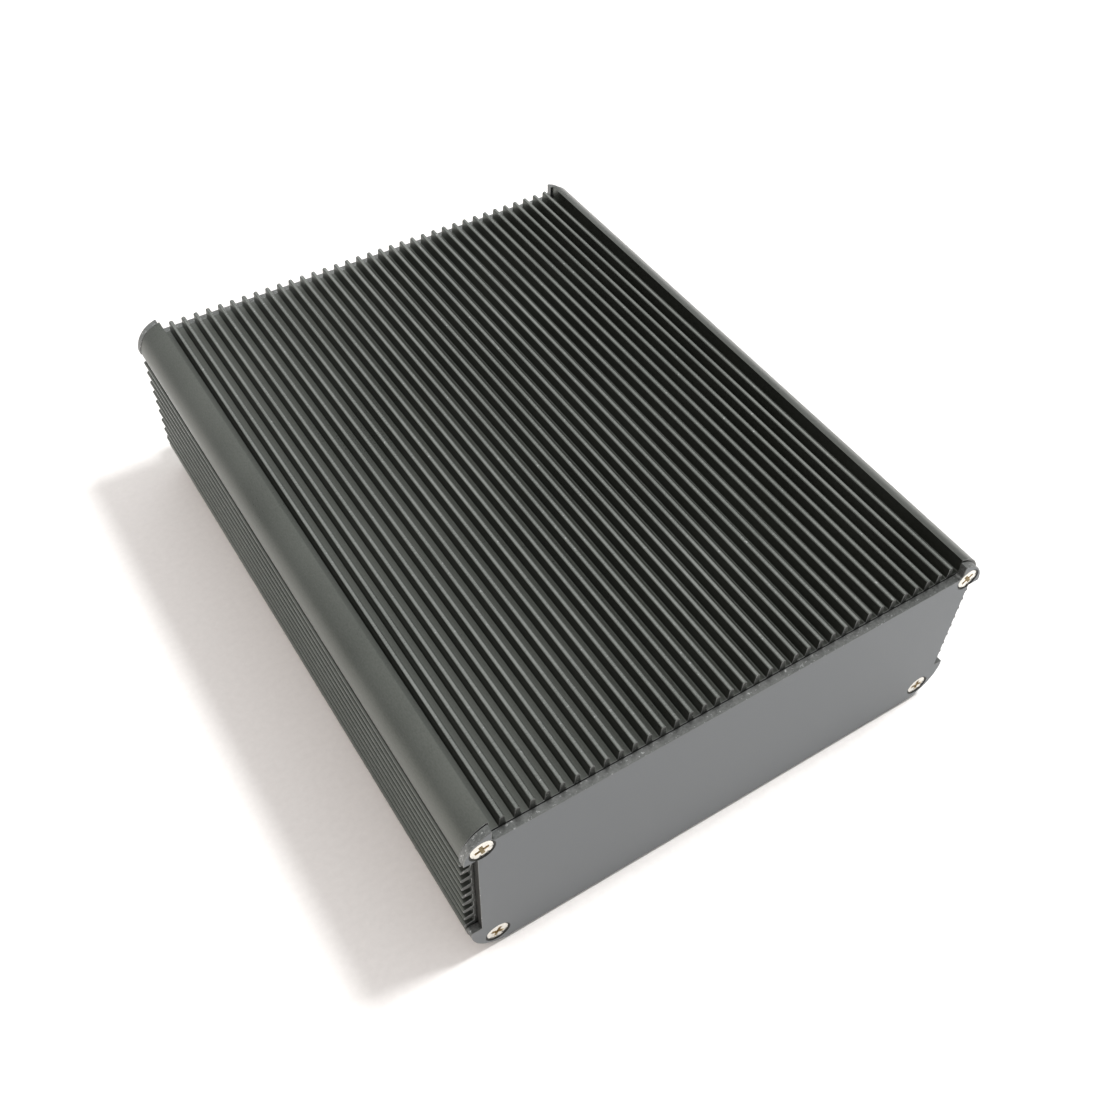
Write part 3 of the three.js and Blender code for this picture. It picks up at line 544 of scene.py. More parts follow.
TONGUE_CORNER_Z, TONGUE_END_Z = 42.0, 41.6
CEILING_Z = 46.8
CEILING_CORNER_X, CEILING_CORNER_Z = 63.8, 45.8
LOWER_LOBE_X, LOWER_LOBE_Z, LOWER_LOBE_R = 60.1, 11.1, 11.1
LOWER_LOBE_TOP = 11.3
LOWER_RIM_Z = 44.6
INNER_WALL_X = 66.9
RAIL_X, RAIL_TOP_Z, RAIL_LOW_Z = 64.2, 12.4, 10.85
SLOT_LOW_Z = 8.95
BOSS_X = 61.3
CASE_FLOOR_Z = 3.0
CASE_LOOKS = ("anodised", "anodised_end", "anodised_edge", "painted_tip_highlight")


def fin_side(sign):
    """Half the outline of a fin as (distance from its middle, height): root fillet, side and round tip."""
    height = FIN_TOP - GROOVE
    foot = [(ROOT_HALF + ROOT_FILLET, 0.0), (ROOT_HALF + 0.09, 0.09), (ROOT_HALF, ROOT_FILLET)]
    steps = 5
    tip = []
    for i in range(steps):
        a = math.pi / 2 * i / steps
        tip.append((TIP_HALF * math.cos(a), height - TIP_RISE + TIP_RISE * math.sin(a)))
    return [(sign * u, v) for u, v in foot + tip]


def fin_outline(middle):
    left = [(middle + u, v) for u, v in fin_side(-1)]
    right = [(middle + u, v) for u, v in fin_side(1)]
    return left + [(middle, FIN_TOP - GROOVE)] + right[::-1]


def upper_lobe(shrink, under):
    radius = UPPER_LOBE_R - shrink
    curve = arc(UPPER_LOBE_X, UPPER_LOBE_Z, radius, UPPER_LOBE_FROM, UPPER_LOBE_TO, LOBE_STEPS)
    end = curve[-1][0]
    return curve + [(end - 0.1, under + 0.12), (end - 0.35, under)]


def lower_lobe(cx, cz, r, start, top):
    return [(cx + r - 0.35, top)] + arc(cx, cz, r, start, -90, LOBE_STEPS)


def mirrored(half):
    """A closed outline from its +X half, whose first and last points are on the middle line."""
    return half + [(-u, v) for u, v in half[-2:0:-1]]


def upper_outline():
    tops = []
    for i in range((FIN_COUNT - 1) // 2 + 1):
        tops += [(u, GROOVE + v) for u, v in fin_outline(i * FIN_PITCH)]
    tops = [(u, v) for u, v in tops if u > -1e-6]
    inside = [
        (SIDE_WALL_X, LOBE_UNDER),
        (SIDE_WALL_X, SEAM_Z),
        (TONGUE_OUTER_X, SEAM_Z),
        (TONGUE_OUTER_X, TONGUE_CORNER_Z),
        (TONGUE_FLAT_X, TONGUE_END_Z),
        (TONGUE_INNER_X, TONGUE_END_Z),
        (TONGUE_INNER_X, CEILING_CORNER_Z),
        (CEILING_CORNER_X, CEILING_Z),
        (0, CEILING_Z),
    ]
    corner = [(LOBE_INNER_X - 0.2, GROOVE), (LOBE_INNER_X - 0.05, GROOVE + 0.07)]
    corner.append((LOBE_INNER_X, GROOVE + 0.25))
    return mirrored(tops + corner + upper_lobe(0, LOBE_UNDER) + inside)


def lower_outline():
    sides = []
    for k in range(SIDE_FIN_COUNT):
        z = SIDE_FIN_FIRST - k * SIDE_FIN_PITCH
        reach = (SIDE_TIP_X - SIDE_WALL_X) / (FIN_TOP - GROOVE)
        sides += [(SIDE_WALL_X + v * reach, z - u) for u, v in fin_outline(0)]
    lobe = lower_lobe(LOWER_LOBE_X, LOWER_LOBE_Z, LOWER_LOBE_R, -1, LOWER_LOBE_TOP)
    outside = [(0, 0)] + lobe[::-1] + [(SIDE_WALL_X, LOWER_LOBE_TOP)] + sides[::-1]
    inside = [
        (SIDE_WALL_X, LOWER_RIM_Z),
        (INNER_WALL_X, LOWER_RIM_Z),
        (INNER_WALL_X, RAIL_TOP_Z),
        (RAIL_X, RAIL_TOP_Z),
        (RAIL_X, RAIL_LOW_Z),
        (INNER_WALL_X, RAIL_LOW_Z),
        (INNER_WALL_X, SLOT_LOW_Z),
        (BOSS_X, SLOT_LOW_Z),
        (BOSS_X, CASE_FLOOR_Z),
        (0, CASE_FLOOR_Z),
    ]
    return mirrored(outside + inside)


BORE = 1.4


def screw_spot(number):
    """Where a screw's axis is in X and Z. Numbers 1 and 2 are the upper screws, 3 and 4 the lower."""
    low, high = span(f"front_screw_{number}")
    return (low.x + high.x) / 2, (low.z + high.z) / 2


SCREW_SPOTS = [screw_spot(i) for i in range(1, 5)]


def along_tip(centre, normal):
    """Whether a face runs along the very top of a fin, where a lighter stripe is painted as the tip
    highlight.
    """
    return centre.z > FIN_TOP - 0.1 and abs(normal.z) > 0.85 and abs(centre.x) < LOBE_INNER_X - 1


def draw_shell(name, outline, spots):
    bores = [circle(x, z, BORE, 24) for x, z in spots]
    shell = Drawing().prism(outline, SHELL_LOW.y, SHELL_HIGH.y, holes=bores, bevel=CUT_EDGE, looks=(0, 1, 2))
    # The lighter stripe along the fin tips is a painted highlight.
    shell.paint(along_tip, CASE_LOOKS.index("painted_tip_highlight"))
    piece(name + "_skin", shell, CASE_LOOKS, "case", [name])


draw_shell("upper_shell", upper_outline(), SCREW_SPOTS[:2])
draw_shell("lower_shell", lower_outline(), SCREW_SPOTS[2:])

# ---------- end plates ----------

PLATE_EDGE = 0.16
PLATE_THICKNESS = 2.0
PLATE_TOP_Z, PLATE_BOTTOM_Z = 49.85, 0.8
PLATE_SIDE_X = 67.8
PLATE_UNDER_LOBE = 45.2
PLATE_LOBE_TOP = 12.4
PLATE_LOBE_X, PLATE_LOBE_Z, PLATE_LOBE_R = 60.0, 11.3, 10.5
HEAD_R = 2.75
SINK_R = HEAD_R + 0.45
THROUGH_R = 1.7
PLATE_LOOKS = ("plate", "plate_side", "anodised_edge", "anodised_painted_shade")


def plate_outline():
    top = [(0, PLATE_TOP_Z), (LOBE_INNER_X - 0.9, PLATE_TOP_Z), (LOBE_INNER_X - 0.45, 49.95)]
    top += [(LOBE_INNER_X - 0.15, 50.25), (LOBE_INNER_X, 50.8)]
    return mirrored(
        top
        + upper_lobe(0.3, PLATE_UNDER_LOBE)
        + [(PLATE_SIDE_X, PLATE_UNDER_LOBE), (PLATE_SIDE_X, PLATE_LOBE_TOP)]
        + lower_lobe(PLATE_LOBE_X, PLATE_LOBE_Z, PLATE_LOBE_R, 4.4, PLATE_LOBE_TOP)
        + [(0, PLATE_BOTTOM_Z)]
    )


def countersinks(inner, side):
    """Cutters for the four countersunk holes. side is 1 where the mouth faces +Y."""
    cutter = Drawing()
    mouth = PLATE_THICKNESS
    slope = mouth - (SINK_R - THROUGH_R)
    profile = [(0, -1), (THROUGH_R, -1), (THROUGH_R, slope), (SINK_R, mouth), (SINK_R, mouth + 1)]
    profile.append((0, mouth + 1))
    for x, z in SCREW_SPOTS:
        # Look 3 gives the countersink faces the near-black painted shade colour.
        cutter.lathe([(r, side * w) for r, w in profile], (x, z, inner), looks=[3] * 5)
    return cutter.to_object("cutter", PLATE_LOOKS)


def on_flank(centre, normal):
    """Whether a face is on the upright side of a plate, beside the ends of the side fins, where shade is
    painted.
    """
    beside = PLATE_LOBE_TOP < centre.z < PLATE_UNDER_LOBE and abs(centre.x) > LOBE_INNER_X
    return beside and abs(normal.x) > 0.8


def draw_plate(name, body, side, windows=()):
    low, high = span(name)
    shift = (low.x + high.x) / 2
    outline = [(u + shift, v) for u, v in plate_outline()]
    plate = Drawing().prism(outline, low.y, high.y, holes=windows, bevel=PLATE_EDGE, looks=(1, 0, 2))
    # Look 3 paints shade onto the upright flanks beside the side fins.
    plate.paint(on_flank, 3)
    made = plate.to_object(name + "_skin", PLATE_LOOKS)
    carve(made, countersinks(low.y if side > 0 else high.y, side))
    finish_piece(made, body, [name])


CONTROL_TOP = 29.8
POWER_TOP = 10.7
SEAT = 0.02
POLE_PITCH = 5.08
TERMINALS = {"power": (-48.0, 5), "motor": (-19.5, 4)}
SOCKETS = {
    "encoder": {"x": -7.0, "shell": 16.4, "lock": 12.5, "flange": 30.8, "rows": (5, 4)},
    "io": {"x": 29.2, "shell": 24.8, "lock": 16.65, "flange": 39.0, "rows": (8, 7)},
}
SOCKET_Z = CONTROL_TOP + 6.3
DIP_X = 56.4
LED_X = {"power_led": -31.2, "fault_led": -27.0}
LED_Z = CONTROL_TOP + 4.4


def d_outline(x, width, height, grow=0.0, r=1.2):
    """The D of a socket, wide side up, with round corners."""
    w = width / 2 + grow
    h = height / 2 + grow
    lean = 0.75
    low, high = SOCKET_Z - h, SOCKET_Z + h
    corners = [(x - w + lean, low), (x + w - lean, low), (x + w, high), (x - w, high)]
    points = []
    for i, corner in enumerate(corners):
        here = Vector(corner)
        before = (Vector(corners[i - 1]) - here).normalized()
        after = (Vector(corners[(i + 1) % 4]) - here).normalized()
        for k in range(5):
            t = k / 4
            start, end = here + before * r, here + after * r
            points.append(tuple((1 - t) ** 2 * start + 2 * t * (1 - t) * here + t**2 * end))
    return points


def rear_windows():
    windows = []
    for x, poles in TERMINALS.values():
        half = poles * POLE_PITCH / 2 + 1.2 + 0.6
        windows.append(rounded(x - half, x + half, POWER_TOP - 0.2, POWER_TOP + 11.8, 0.5))
    for socket in SOCKETS.values():
        windows.append(d_outline(socket["x"], socket["shell"], 8.2, 0.6))
        for side in (-1, 1):
            windows.append(circle(socket["x"] + side * socket["lock"], SOCKET_Z, 3.1, 32))
    half = 4 * 2.54 / 2 + 0.7
    windows.append(rounded(DIP_X - half, DIP_X + half, CONTROL_TOP - 0.4, CONTROL_TOP + 7.0, 0.4))
    for x in LED_X.values():
        windows.append(circle(x, LED_Z, 1.8, 32))
    return windows


draw_plate("front_end_plate", "front_plate", -1)
draw_plate("rear_end_plate", "rear_plate", 1, rear_windows())

# ---------- plate screws ----------

SCREW_LENGTH = 9.0
THREAD_PITCH = 0.5
RECESS_TOP = 0.52
RECESS_REACH = 1.9
RECESS_DEPTH = 1.25


def screw_profile():
    """From the tip to the face of the head: threaded shank, cone and flat face."""
    cone_end = -0.14 - (HEAD_R - 1.2)
    profile = [(0, -SCREW_LENGTH), (0.85, -SCREW_LENGTH), (1.12, -SCREW_LENGTH + 0.3)]
    w = -SCREW_LENGTH + 0.3
    while w + THREAD_PITCH < cone_end - 0.1:
        profile += [(1.36, w + THREAD_PITCH / 2), (1.13, w + THREAD_PITCH)]
        w += THREAD_PITCH
    profile += [(1.18, cone_end - 0.05), (HEAD_R - 0.03, -0.16), (HEAD_R, -0.1), (HEAD_R - 0.03, -0.04)]
    return profile + [(HEAD_R - 0.1, 0), (0, 0)]


def recess_cutter():
    """A cross that narrows as it goes down."""
    cutter = Drawing()
    for across in (0, 1):
        corners = []
        for w, reach, half in ((0.5, RECESS_REACH + 0.2, RECESS_TOP), (-RECESS_DEPTH, 0.75, 0.3)):
            flat = [(-reach, -half), (reach, -half), (reach, half), (-reach, half)]
            if across:
                flat = [(v, u) for u, v in flat]
            corners.append([cutter.mesh.verts.new((u, w, v)) for u, v in flat])
        cutter.bridge(corners[0], corners[1], 1)
        cutter.face(corners[0], 1)
        cutter.face(corners[1], 1)
    return cutter


def draw_plate_screws():
    looks = ("screw", "screw_recess")
    pattern = Drawing().lathe(screw_profile(), (0, 0, 0), segments=40).to_object("pattern", looks)
    cross = recess_cutter()
    bmesh.ops.recalc_face_normals(cross.mesh, faces=cross.mesh.faces)
    for made in list(cross.mesh.faces):
        made.material_index = 1
    whole = bpy.data.meshes.new("cross")
    cross.mesh.to_mesh(whole)
    cross.mesh.free()
    for arm in split_arms(whole):
        for look in looks:
            arm.data.materials.append(LOOKS[look])
        carve(pattern, arm)
    turns = {"front": [12 + 25 * i for i in range(4)], "rear": [20 + 37 * i for i in range(4)]}
    for end, angles in turns.items():
        for i, angle in enumerate(angles):
            node = f"{end}_screw_{i + 1}"
            low, high = span(node)
            x, z = (low.x + high.x) / 2, (low.z + high.z) / 2
            turn = Matrix.Rotation(math.radians(angle), 4, "Y")
            if end == "front":
                turn = Matrix.Rotation(math.pi, 4, "X") @ turn
            face = low.y if end == "front" else high.y
            data = pattern.data.copy()
            data.transform(Matrix.Translation((x, face, z)) @ turn)
            made = bpy.data.objects.new(node + "_turned", data)
            bpy.context.scene.collection.objects.link(made)
            finish_piece(made, node, [node])
    bpy.data.objects.remove(pattern)


def split_arms(mesh):
    """The two arms of the cross as separate solids, so that each is closed."""
    arms = []
    per_arm = len(mesh.vertices) // 2
    for k in (0, 1):
        drawn = bmesh.new()
        drawn.from_mesh(mesh)
        drawn.verts.ensure_lookup_table()
        gone = [v for v in drawn.verts if v.index // per_arm != k]
        bmesh.ops.delete(drawn, geom=gone, context="VERTS")
        data = bpy.data.meshes.new("arm")
        drawn.to_mesh(data)
        drawn.free()
        arm = bpy.data.objects.new("arm", data)
        bpy.context.scene.collection.objects.link(arm)
        arms.append(arm)
    return arms


draw_plate_screws()

# ---------- power parts ----------


def draw_capacitors():
    for i in (1, 2, 3):
        node = f"bus_capacitor_{i}"
        low, high = span(node)
        x, y = (low.x + high.x) / 2, (low.y + high.y) / 2
        r, top = (high.x - low.x) / 2, high.z - low.z
        sleeve = [(0, 0), (r - 0.9, 0), (r - 0.25, 0.2), (r, 0.7), (r, 2.7), (r - 0.35, 3.1), (r - 0.7, 3.6)]
        sleeve += [(r - 0.35, 4.1), (r, 4.5), (r, top - 0.7), (r - 0.2, top - 0.2), (r - 0.7, top)]
        sleeve.append((r - 1.5, top))
        crown = [(r - 1.7, top - 0.35), (r - 2.1, top - 0.45), (0, top - 0.3)]
        looks = [0] * (len(sleeve) - 1) + [1] * len(crown)
        can = Drawing().lathe(sleeve + crown, (x, y, low.z), "z", 64, looks)
        made = can.to_object(node + "_can", ("can_sleeve", "bare_aluminium"))
        for along in (0, 1):
            w, l = (0.3, 6.5) if along else (6.5, 0.3)
            vent = Drawing().block((x - w, x + w), (y - l, y + l), (high.z - 0.62, high.z + 1), 0.12, 0.0, 1)
            carve(made, vent.to_object("vent", ("can_sleeve", "bare_aluminium")))
        finish_piece(made, "case", [node])


def draw_windings():
    """Each winding is one enamelled wire wound round the core."""
    wire = 0.68
    turns = 10
    low, high = span("choke_core")
    x, y = (low.x + high.x) / 2, (low.y + high.y) / 2
    bottom, top = low.z - 0.3 - 0.75, high.z + 0.3 + 0.75
    inner, outer = 6.95, 15.05
    corner = 1.2
    loop = rounded(inner, outer, bottom, top, corner, 4)
    for number, facing in ((1, 90), (2, 270)):
        points = []
        start, stop = facing - 58, facing + 58
        total = turns * len(loop)
        for k in range(total + 1):
            r, z = loop[k % len(loop)]
            a = math.radians(start + (stop - start) * k / total)
            points.append((x + r * math.cos(a), y + r * math.sin(a), z))
        drawing = Drawing().tube(points, wire, sides=10)
        node = f"choke_winding_{number}"
        piece(node + "_wire", drawing, ("enamelled_copper",), "case", [node])


def draw_devices():
    for i in range(1, 7):
        node = f"mosfet_{i}"
        low, high = span(node)
        y = (low.y + high.y) / 2
        drawing = Drawing().block((low.x, high.x), (low.y, high.y), (16.5, 32.5), 0.35, 0.3, 0, "x")
        drawing.block((low.x, low.x + 1.3), (low.y + 0.3, high.y - 0.3), (29.0, 32.2), 0.4, 0.1, 1, "x")
        for k in (-1, 0, 1):
            ly = y + k * 2.54
            tab = (low.x + 1.95, low.x + 2.55)
            drawing.block(tab, (ly - 0.8, ly + 0.8), (14.6, 16.9), 0.15, 0.08, 1, "x")
            drawing.block(tab, (ly - 0.45, ly + 0.45), (POWER_TOP + SEAT, 15), 0.1, 0.08, 1, "x")
        piece(node + "_device", drawing, ("mould_compound", "tinned_steel"), "case", [node])


def draw_fuse():
    low, high = span("fuse")
    x, y = (low.x + high.x) / 2, (low.y + high.y) / 2
    drawing = Drawing()
    drawing.block((low.x, high.x), (low.y + 0.7, high.y - 0.7), (high.z - 11, high.z - 0.4), 1.0, 0.3, 0, "y")
    drawing.block((low.x + 0.4, high.x - 0.4), (low.y, high.y), (high.z - 2.6, high.z), 0.6, 0.35, 0, "y")
    for side in (-1, 1):
        bx = x + side * 7
        drawing.block((bx - 2.5, bx + 2.5), (y - 0.4, y + 0.4), (low.z, high.z - 10.4), 0.3, 0.1, 1, "y")
    piece("fuse_blade", drawing, ("fuse_amber", "tinned_steel"), "fuse", ["fuse"])


draw_capacitors()
draw_windings()
draw_devices()
draw_fuse()

# ---------- parts on the boards ----------


def chip(drawing, x, y, z, width, length, legs):
    """A small outline chip with gull wings on its two long sides. Looks: 0 compound, 1 tin."""
    drawing.block(
        (x - width / 2, x + width / 2), (y - length / 2, y + length / 2), (z + 0.15, z + 1.6), 0.15, 0.2
    )
    mark = (x - width / 2 + 0.8, y - length / 2 + 0.8, z + 1.59)
    drawing.lathe([(0, 0), (0.35, 0), (0.3, 0.03), (0, 0.03)], mark, "z", 12)
    pitch = 1.27
    for i in range(legs):
        ly = y + (i - (legs - 1) / 2) * pitch
        for side in (-1, 1):
            near, far = x + side * width / 2, x + side * (width / 2 + 1.0)
            drawing.tube([(near - side * 0.2, ly, z + 0.8), (near + side * 0.3, ly, z + 0.8)], 0.2, 1, 4)
            drawing.tube([(near + side * 0.3, ly, z + 0.85), (near + side * 0.45, ly, z + 0.2)], 0.2, 1, 4)
            drawing.tube([(near + side * 0.4, ly, z + 0.2), (far, ly, z + 0.2)], 0.2, 1, 4)


def passive(drawing, x, y, z, along, size, look):
    """A chip resistor or capacitor with tinned ends."""
    half, side, height = size
    for low, high, part in ((-half, -half * 0.6, 1), (-half * 0.6, half * 0.6, look), (half * 0.6, half, 1)):
        swell = 0.03 if part == 1 else 0.0
        u = (low, high)
        v = (-side - swell, side + swell)
        if along:
            u, v = v, u
        drawing.block((x + u[0], x + u[1]), (y + v[0], y + v[1]), (z, z + height + swell), 0.08, 0.06, part)


def small_can(drawing, x, y, z, r, h):
    """A small electrolytic can on its base. Looks: 2 bare aluminium, 0 base."""
    drawing.block((x - r - 0.2, x + r + 0.2), (y - r - 0.2, y + r + 0.2), (z, z + 0.9), 0.6, 0.15)
    profile = [(0, 0), (r, 0), (r, h * 0.18), (r - 0.2, h * 0.22), (r, h * 0.26), (r, h - 0.4)]
    profile += [(r - 0.35, h), (0, h)]
    drawing.lathe(profile, (x, y, z + 0.9), "z", 32, [2] * 7)


BOARD_LOOKS = (
    "mould_compound", "tinned_steel", "bare_aluminium", "chip_ceramic", "film_box", "black_plastic"
)
PASSIVE_SIZES = [(1.0, 0.62, 0.5), (0.8, 0.4, 0.45)]


def draw_passives(drawing, z, count, spots, draw):
    """count small parts in each clear patch (x0, x1, y0, y1), in rows on a 3.2 mm grid."""
    pitch = 3.2
    for x0, x1, y0, y1 in spots:
        grid = []
        for i in range(int((x1 - x0) / pitch)):
            for j in range(int((y1 - y0) / pitch)):
                grid.append((x0 + pitch * (i + 0.5), y0 + pitch * (j + 0.5)))
        for x, y in draw.sample(grid, min(count, len(grid))):
            size = draw.choice(PASSIVE_SIZES)
            passive(drawing, x, y, z, draw.random() < 0.5, size, draw.choice((0, 3)))


def draw_board_parts():
    draw = random.Random(7)
    z = CONTROL_TOP
    control = Drawing()
    for x, y, width, length, legs in (
        (-18, 4, 3.9, 9.9, 8),
        (-18, 24, 3.9, 4.9, 4),
        (38, 6, 7.5, 12.8, 10),
        (38, 30, 7.5, 12.8, 10),
        (-4, 62, 3.9, 9.9, 8),
        (30, 62, 3.9, 9.9, 8),
    ):
        chip(control, x, y, z, width, length, legs)
    for x, y in ((-24, 44), (-14, 44), (52, 46), (52, 34)):
        small_can(control, x, y, z, 3.1, 6.8)
    control.block((10, 14.8), (36, 47), (z, z + 3.6), 1.2, 0.4, 1)
    control.block((50.5, 58.5), (-6, 18), (z, z + 2.5), 0.3, 0.2, 5)
    for i in range(9):
        control.tube([(54.5, -3.5 + 2.54 * i, z + 2), (54.5, -3.5 + 2.54 * i, z + 8.5)], 0.35, 1, 4)
    patches = [(-30, 30, -14, -2), (-10, 2, 2, 44), (22, 32, 36, 56), (-30, 44, 68, 77), (-12, 28, 49, 56)]
    draw_passives(control, z, 22, patches, draw)
    piece("control_board_parts", control, BOARD_LOOKS, "case")

    z = POWER_TOP
    power = Drawing()
    for i in range(6):
        chip(power, -33, -60 + 17 * i, z, 7.5, 10.3, 8)
    for x, y in ((46, 4), (46, 20), (46, 36)):
        power.block((x - 3, x + 3), (y - 6.5, y + 6.5), (z, z + 11), 0.5, 0.3, 4)
    for x, y in ((-22, 40), (-22, 54), (-8, 62)):
        small_can(power, x, y, z, 4.0, 9.5)
    power.lathe(
        [(0, -2.2), (4, -2.2), (6.2, -1.6), (6.8, 0), (6.2, 1.6), (4, 2.2), (0, 2.2)],
        (-28, z + 8.6, 68), "y", 32,
        [5] * 6
    )
    for side in (-1, 1):
        power.tube([(-28 + side * 3, 68, z), (-28 + side * 3, 68, z + 4)], 0.4, 1, 6)
    patches = [(-40, 48, -86, -74), (-26, -2, -40, -22), (-26, -4, -10, 30)]
    patches += [(20, 50, 56, 74), (40, 64, -28, -22)]
    draw_passives(power, z, 20, patches, draw)
    piece("power_board_parts", power, BOARD_LOOKS, "case")


draw_board_parts()

# ---------- rear connectors ----------


def hexagon(x, z, flat):
    return arc(x, z, flat / math.sqrt(3), 30, 330, 5)


def draw_socket(kind):
    socket = SOCKETS[kind]
    x, shell, lock, flange = socket["x"], socket["shell"], socket["lock"], socket["flange"]
    z0, z1 = CONTROL_TOP + SEAT + 0.1, CONTROL_TOP + SEAT + 12.4
    node = f"{kind}_socket"
    metal = Drawing()
    mouth = d_outline(x, shell - 0.9, 8.2 - 0.9, r=0.9)
    metal.prism(d_outline(x, shell, 8.2), 88.6, 95.4, holes=[mouth], bevel=0.2)
    holes = [circle(x + side * lock, SOCKET_Z, 1.5, 24) for side in (-1, 1)]
    half = flange / 2
    metal.prism(rounded(x - half, x + half, z0, z1, 1.0, 4), 88.5, 89.6, holes=holes, bevel=0.15)
    for side in (-1, 1):
        bore = circle(x + side * lock, SOCKET_Z, 1.2, 20)
        metal.prism(hexagon(x + side * lock, SOCKET_Z, 4.8), 85.5, 94.4, holes=[bore], bevel=0.25)
        middle = x + side * lock
        metal.block((middle - 0.9, middle + 0.9), (80, 86), (z0 - 0.1, z0 + 1), 0.2, 0.15, 0)
    piece(node + "_shell", metal, ("tinned_steel",), "case", [node])
    insulator = Drawing()
    contacts = Drawing()
    holes = []
    for row, count in enumerate(socket["rows"]):
        for i in range(count):
            cx = x + (i - (count - 1) / 2) * 2.76
            cz = SOCKET_Z + (-1.42 if row else 1.42)
            holes.append(circle(cx, cz, 0.72, 16))
            contacts.prism(circle(cx, cz, 0.66, 16), 85.0, 93.6, holes=[circle(cx, cz, 0.42, 16)], bevel=0.06)
            contacts.tube([(cx, 79.4 - 1.2 * row, z0), (cx, 79.4 - 1.2 * row, z0 + 4.5)], 0.32, 0, 6)
    inner = d_outline(x, shell - 1.1, 8.2 - 1.1, r=0.9)
    insulator.prism(inner, 84.6, 94.3, holes=holes, bevel=0.15)
    insulator.block((x - lock + 3.5, x + lock - 3.5), (80.4, 88.45), (z0 - 0.1, z1 - 1.2), 0.5, 0.3, 0)
    piece(node + "_insulator", insulator, ("black_plastic",), "case")
    piece(node + "_contacts", contacts, ("gold",), "case")


def draw_plug_metal(kind):
    """The wire clamps in a plug: a square cage behind each entry, a slotted screw behind each slot."""
    x0, poles = TERMINALS[kind]
    middle = POWER_TOP + SEAT + 5.2
    drawing = Drawing()
    for i in range(poles):
        x = x0 + (i - (poles - 1) / 2) * POLE_PITCH
        z = middle - 1.6
        outer = rounded(x - 1.62, x + 1.62, z - 1.62, z + 1.62, 0.9, 3)
        hole = rounded(x - 1.15, x + 1.15, z - 1.15, z + 1.15, 0.3)
        drawing.prism(outer, 93.2, 95.4, holes=[hole], bevel=0.12)
        drawing.block((x - 1.3, x + 1.3), (94.6, 95.0), (middle + 1.6, middle + 2.5), 0.3, 0.1, 0, "y")
    piece(f"{kind}_plug_clamps", drawing, ("tinned_steel",), f"{kind}_plug")


def draw_leds():
    for node, look in (("power_led", "lens_green"), ("fault_led", "lens_red")):
        low, high = span(node)
        x, tip = LED_X[node], high.y
        r = 1.5
        turns = [math.radians(15 * k) for k in range(6)]
        dome = [(r * math.cos(a), tip - r + r * math.sin(a)) for a in turns]
        profile = [(0, 87), (r + 0.2, 87), (r + 0.2, 87.9), (r, 88.0)] + dome + [(0, tip)]
        drawing = Drawing().lathe(profile, (x, LED_Z, 0), "y", 32)
        drawing.block((x - 1.9, x + 1.9), (82.5, 88.3), (low.z, high.z), 0.3, 0.2, 1)
        for side in (-1, 1):
            drawing.tube([(x + side * 1.27, 82.6, LED_Z), (x + side * 1.27, 81.6, LED_Z - 0.4)], 0.25, 2, 6)
            drawing.tube([(x + side * 1.27, 81.6, LED_Z - 0.3), (x + side * 1.27, 81.6, low.z)], 0.25, 2, 6)
        piece(node + "_lens", drawing, (look, "black_plastic", "tinned_steel"), "case", [node])


for kind in SOCKETS:
    draw_socket(kind)
for kind in TERMINALS:
    draw_plug_metal(kind)
draw_leds()

# ---------- CAD nodes that stay ----------

KEPT_LOOKS = {
    "laminate": ["power_board", "control_board"],
    "brass": [f"standoff_{i}" for i in range(1, 5)],
    "screw": [f"board_screw_{i}" for i in range(1, 5)] + [f"clamp_screw_{i}" for i in range(1, 4)],
    "black_plastic": ["board_header", "fuse_holder"],
    "bare_aluminium": ["heat_bar", "clamp_bar"],
    "gap_pad": ["thermal_pad"],
    "ferrite": ["choke_core"],
    "cement": ["brake_resistor"],
    "mould_compound": ["control_chip"],
    "terminal_green": ["power_header", "motor_header", "power_plug", "motor_plug"],
    "switch_blue": ["dip_switch"],
    "lever_white": [f"dip_lever_{i}" for i in range(1, 5)],
}
EDGE_WIDTHS = {
    "board_header": 0.15, "dip_switch": 0.12, "control_chip": 0.2, "thermal_pad": 0.2, "brake_resistor": 0.4
}
DEFAULT_EDGE = 0.12


def dress_kept_nodes():
    """Gives each CAD node that stays its material, and rounds its edges with modifiers only."""
    for look, names in KEPT_LOOKS.items():
        for name in names:
            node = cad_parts[name]
            node.data.materials.clear()
            node.data.materials.append(LOOKS[look])
            merge = node.modifiers.new("merge", "WELD")
            merge.merge_threshold = 1e-6
            flatten = node.modifiers.new("flatten", "DECIMATE")
            flatten.decimate_type = "DISSOLVE"
            flatten.angle_limit = math.radians(1)
            edge = node.modifiers.new("edge", "BEVEL")
            edge.width = EDGE_WIDTHS.get(name, DEFAULT_EDGE) * MM
            edge.segments = 2
            edge.limit_method = "ANGLE"
            edge.angle_limit = math.radians(40)
            weigh_normals(node)


dress_kept_nodes()

# ---------- studio ----------

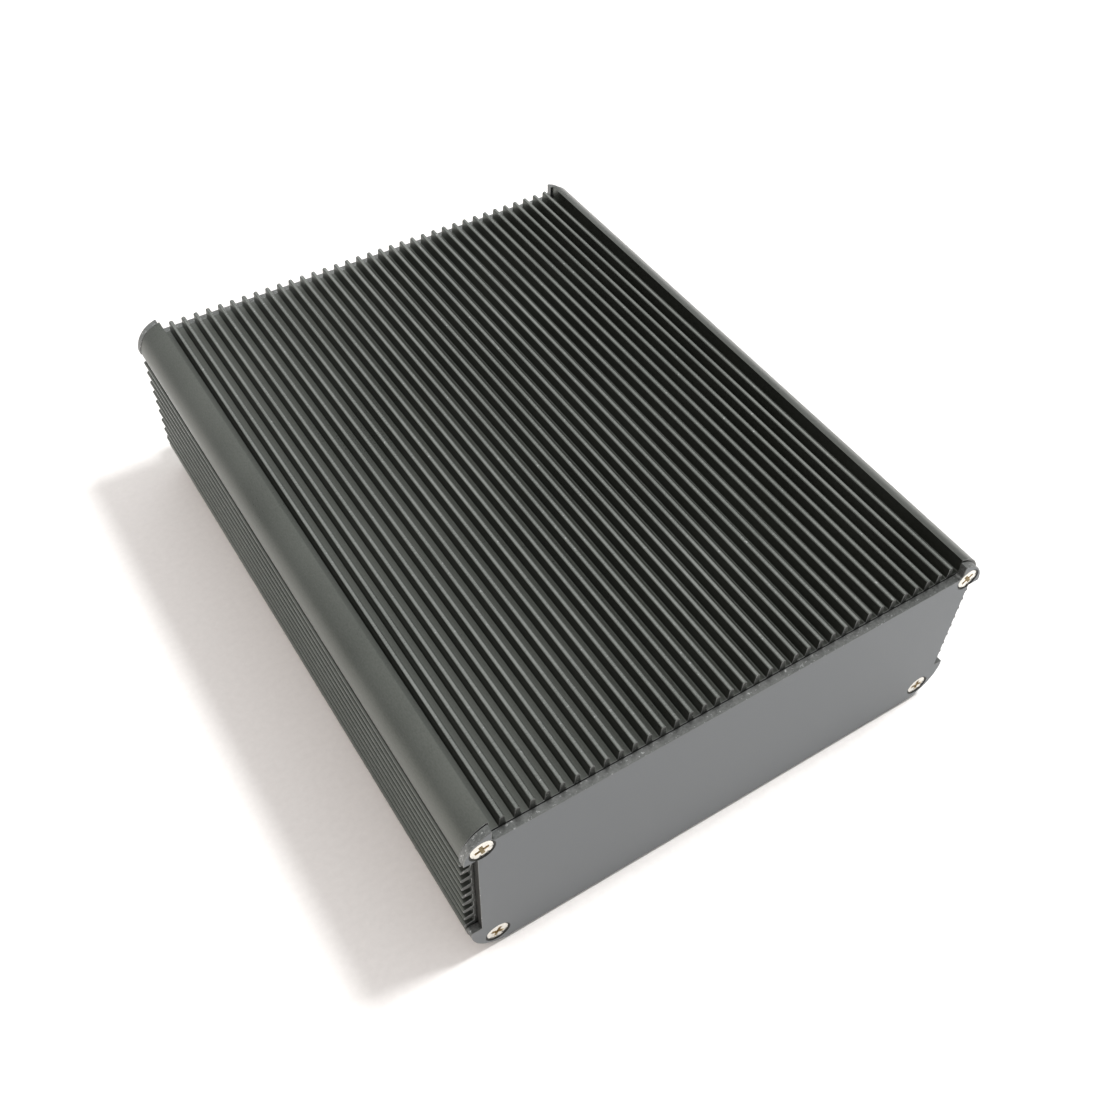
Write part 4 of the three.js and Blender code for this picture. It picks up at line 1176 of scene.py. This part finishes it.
FLOOR_REACH = 6.0
SKY_TOWARDS = (0.05, 0.68, 0.73)
SKY_DIM, SKY_BRIGHT = 0.55, 1.25
SKY_FROM, SKY_TO = 0.3, 1.0
KEY = {"place": (0.80, -0.12, 1.55), "size": 0.34, "power": 29.0, "colour": (1.0, 0.99, 0.975)}
FILL = {"place": (-0.90, -0.20, 1.20), "size": 1.20, "power": 5.5, "colour": (1.0, 0.74, 0.58)}


def add_floor():
    drawing = bmesh.new()
    bmesh.ops.create_grid(drawing, x_segments=8, y_segments=8, size=FLOOR_REACH)
    data = bpy.data.meshes.new("floor")
    drawing.to_mesh(data)
    drawing.free()
    data.materials.append(LOOKS["floor"])
    floor = bpy.data.objects.new("floor", data)
    floor.location.z = cad_box[0].z - 0.00005
    bpy.context.scene.collection.objects.link(floor)


def add_area_light(name, place, size, power, colour):
    """A round lamp that lights the floor and the plastics, and isn't mirrored in the metal."""
    data = bpy.data.lights.new(name, "AREA")
    data.shape = "DISK"
    data.size = size
    data.energy = power
    data.color = colour
    light = bpy.data.objects.new(name, data)
    light.location = place
    light.rotation_mode = "QUATERNION"
    light.rotation_quaternion = (Vector((0, 0, 0.03)) - Vector(place)).to_track_quat("-Z", "Y")
    light.visible_glossy = False
    bpy.context.scene.collection.objects.link(light)


def add_studio():
    scene = bpy.context.scene
    scene.view_settings.view_transform = "Standard"
    world = bpy.data.worlds.new("studio")
    world.use_nodes = True
    tree = world.node_tree
    towards = add_node(tree, "ShaderNodeTexCoord").outputs["Generated"]
    facing = add_node(tree, "ShaderNodeVectorMath", {"operation": "DOT_PRODUCT"}, i0=towards, i1=SKY_TOWARDS)
    strength = map_range(tree, facing.outputs["Value"], SKY_FROM, SKY_TO, SKY_DIM, SKY_BRIGHT)
    background = tree.nodes["Background"]
    background.inputs["Color"].default_value = (1.0, 1.0, 1.0, 1.0)
    tree.links.new(strength, background.inputs["Strength"])
    scene.world = world
    add_area_light("key", **KEY)
    add_area_light("fill", **FILL)


add_floor()
add_studio()
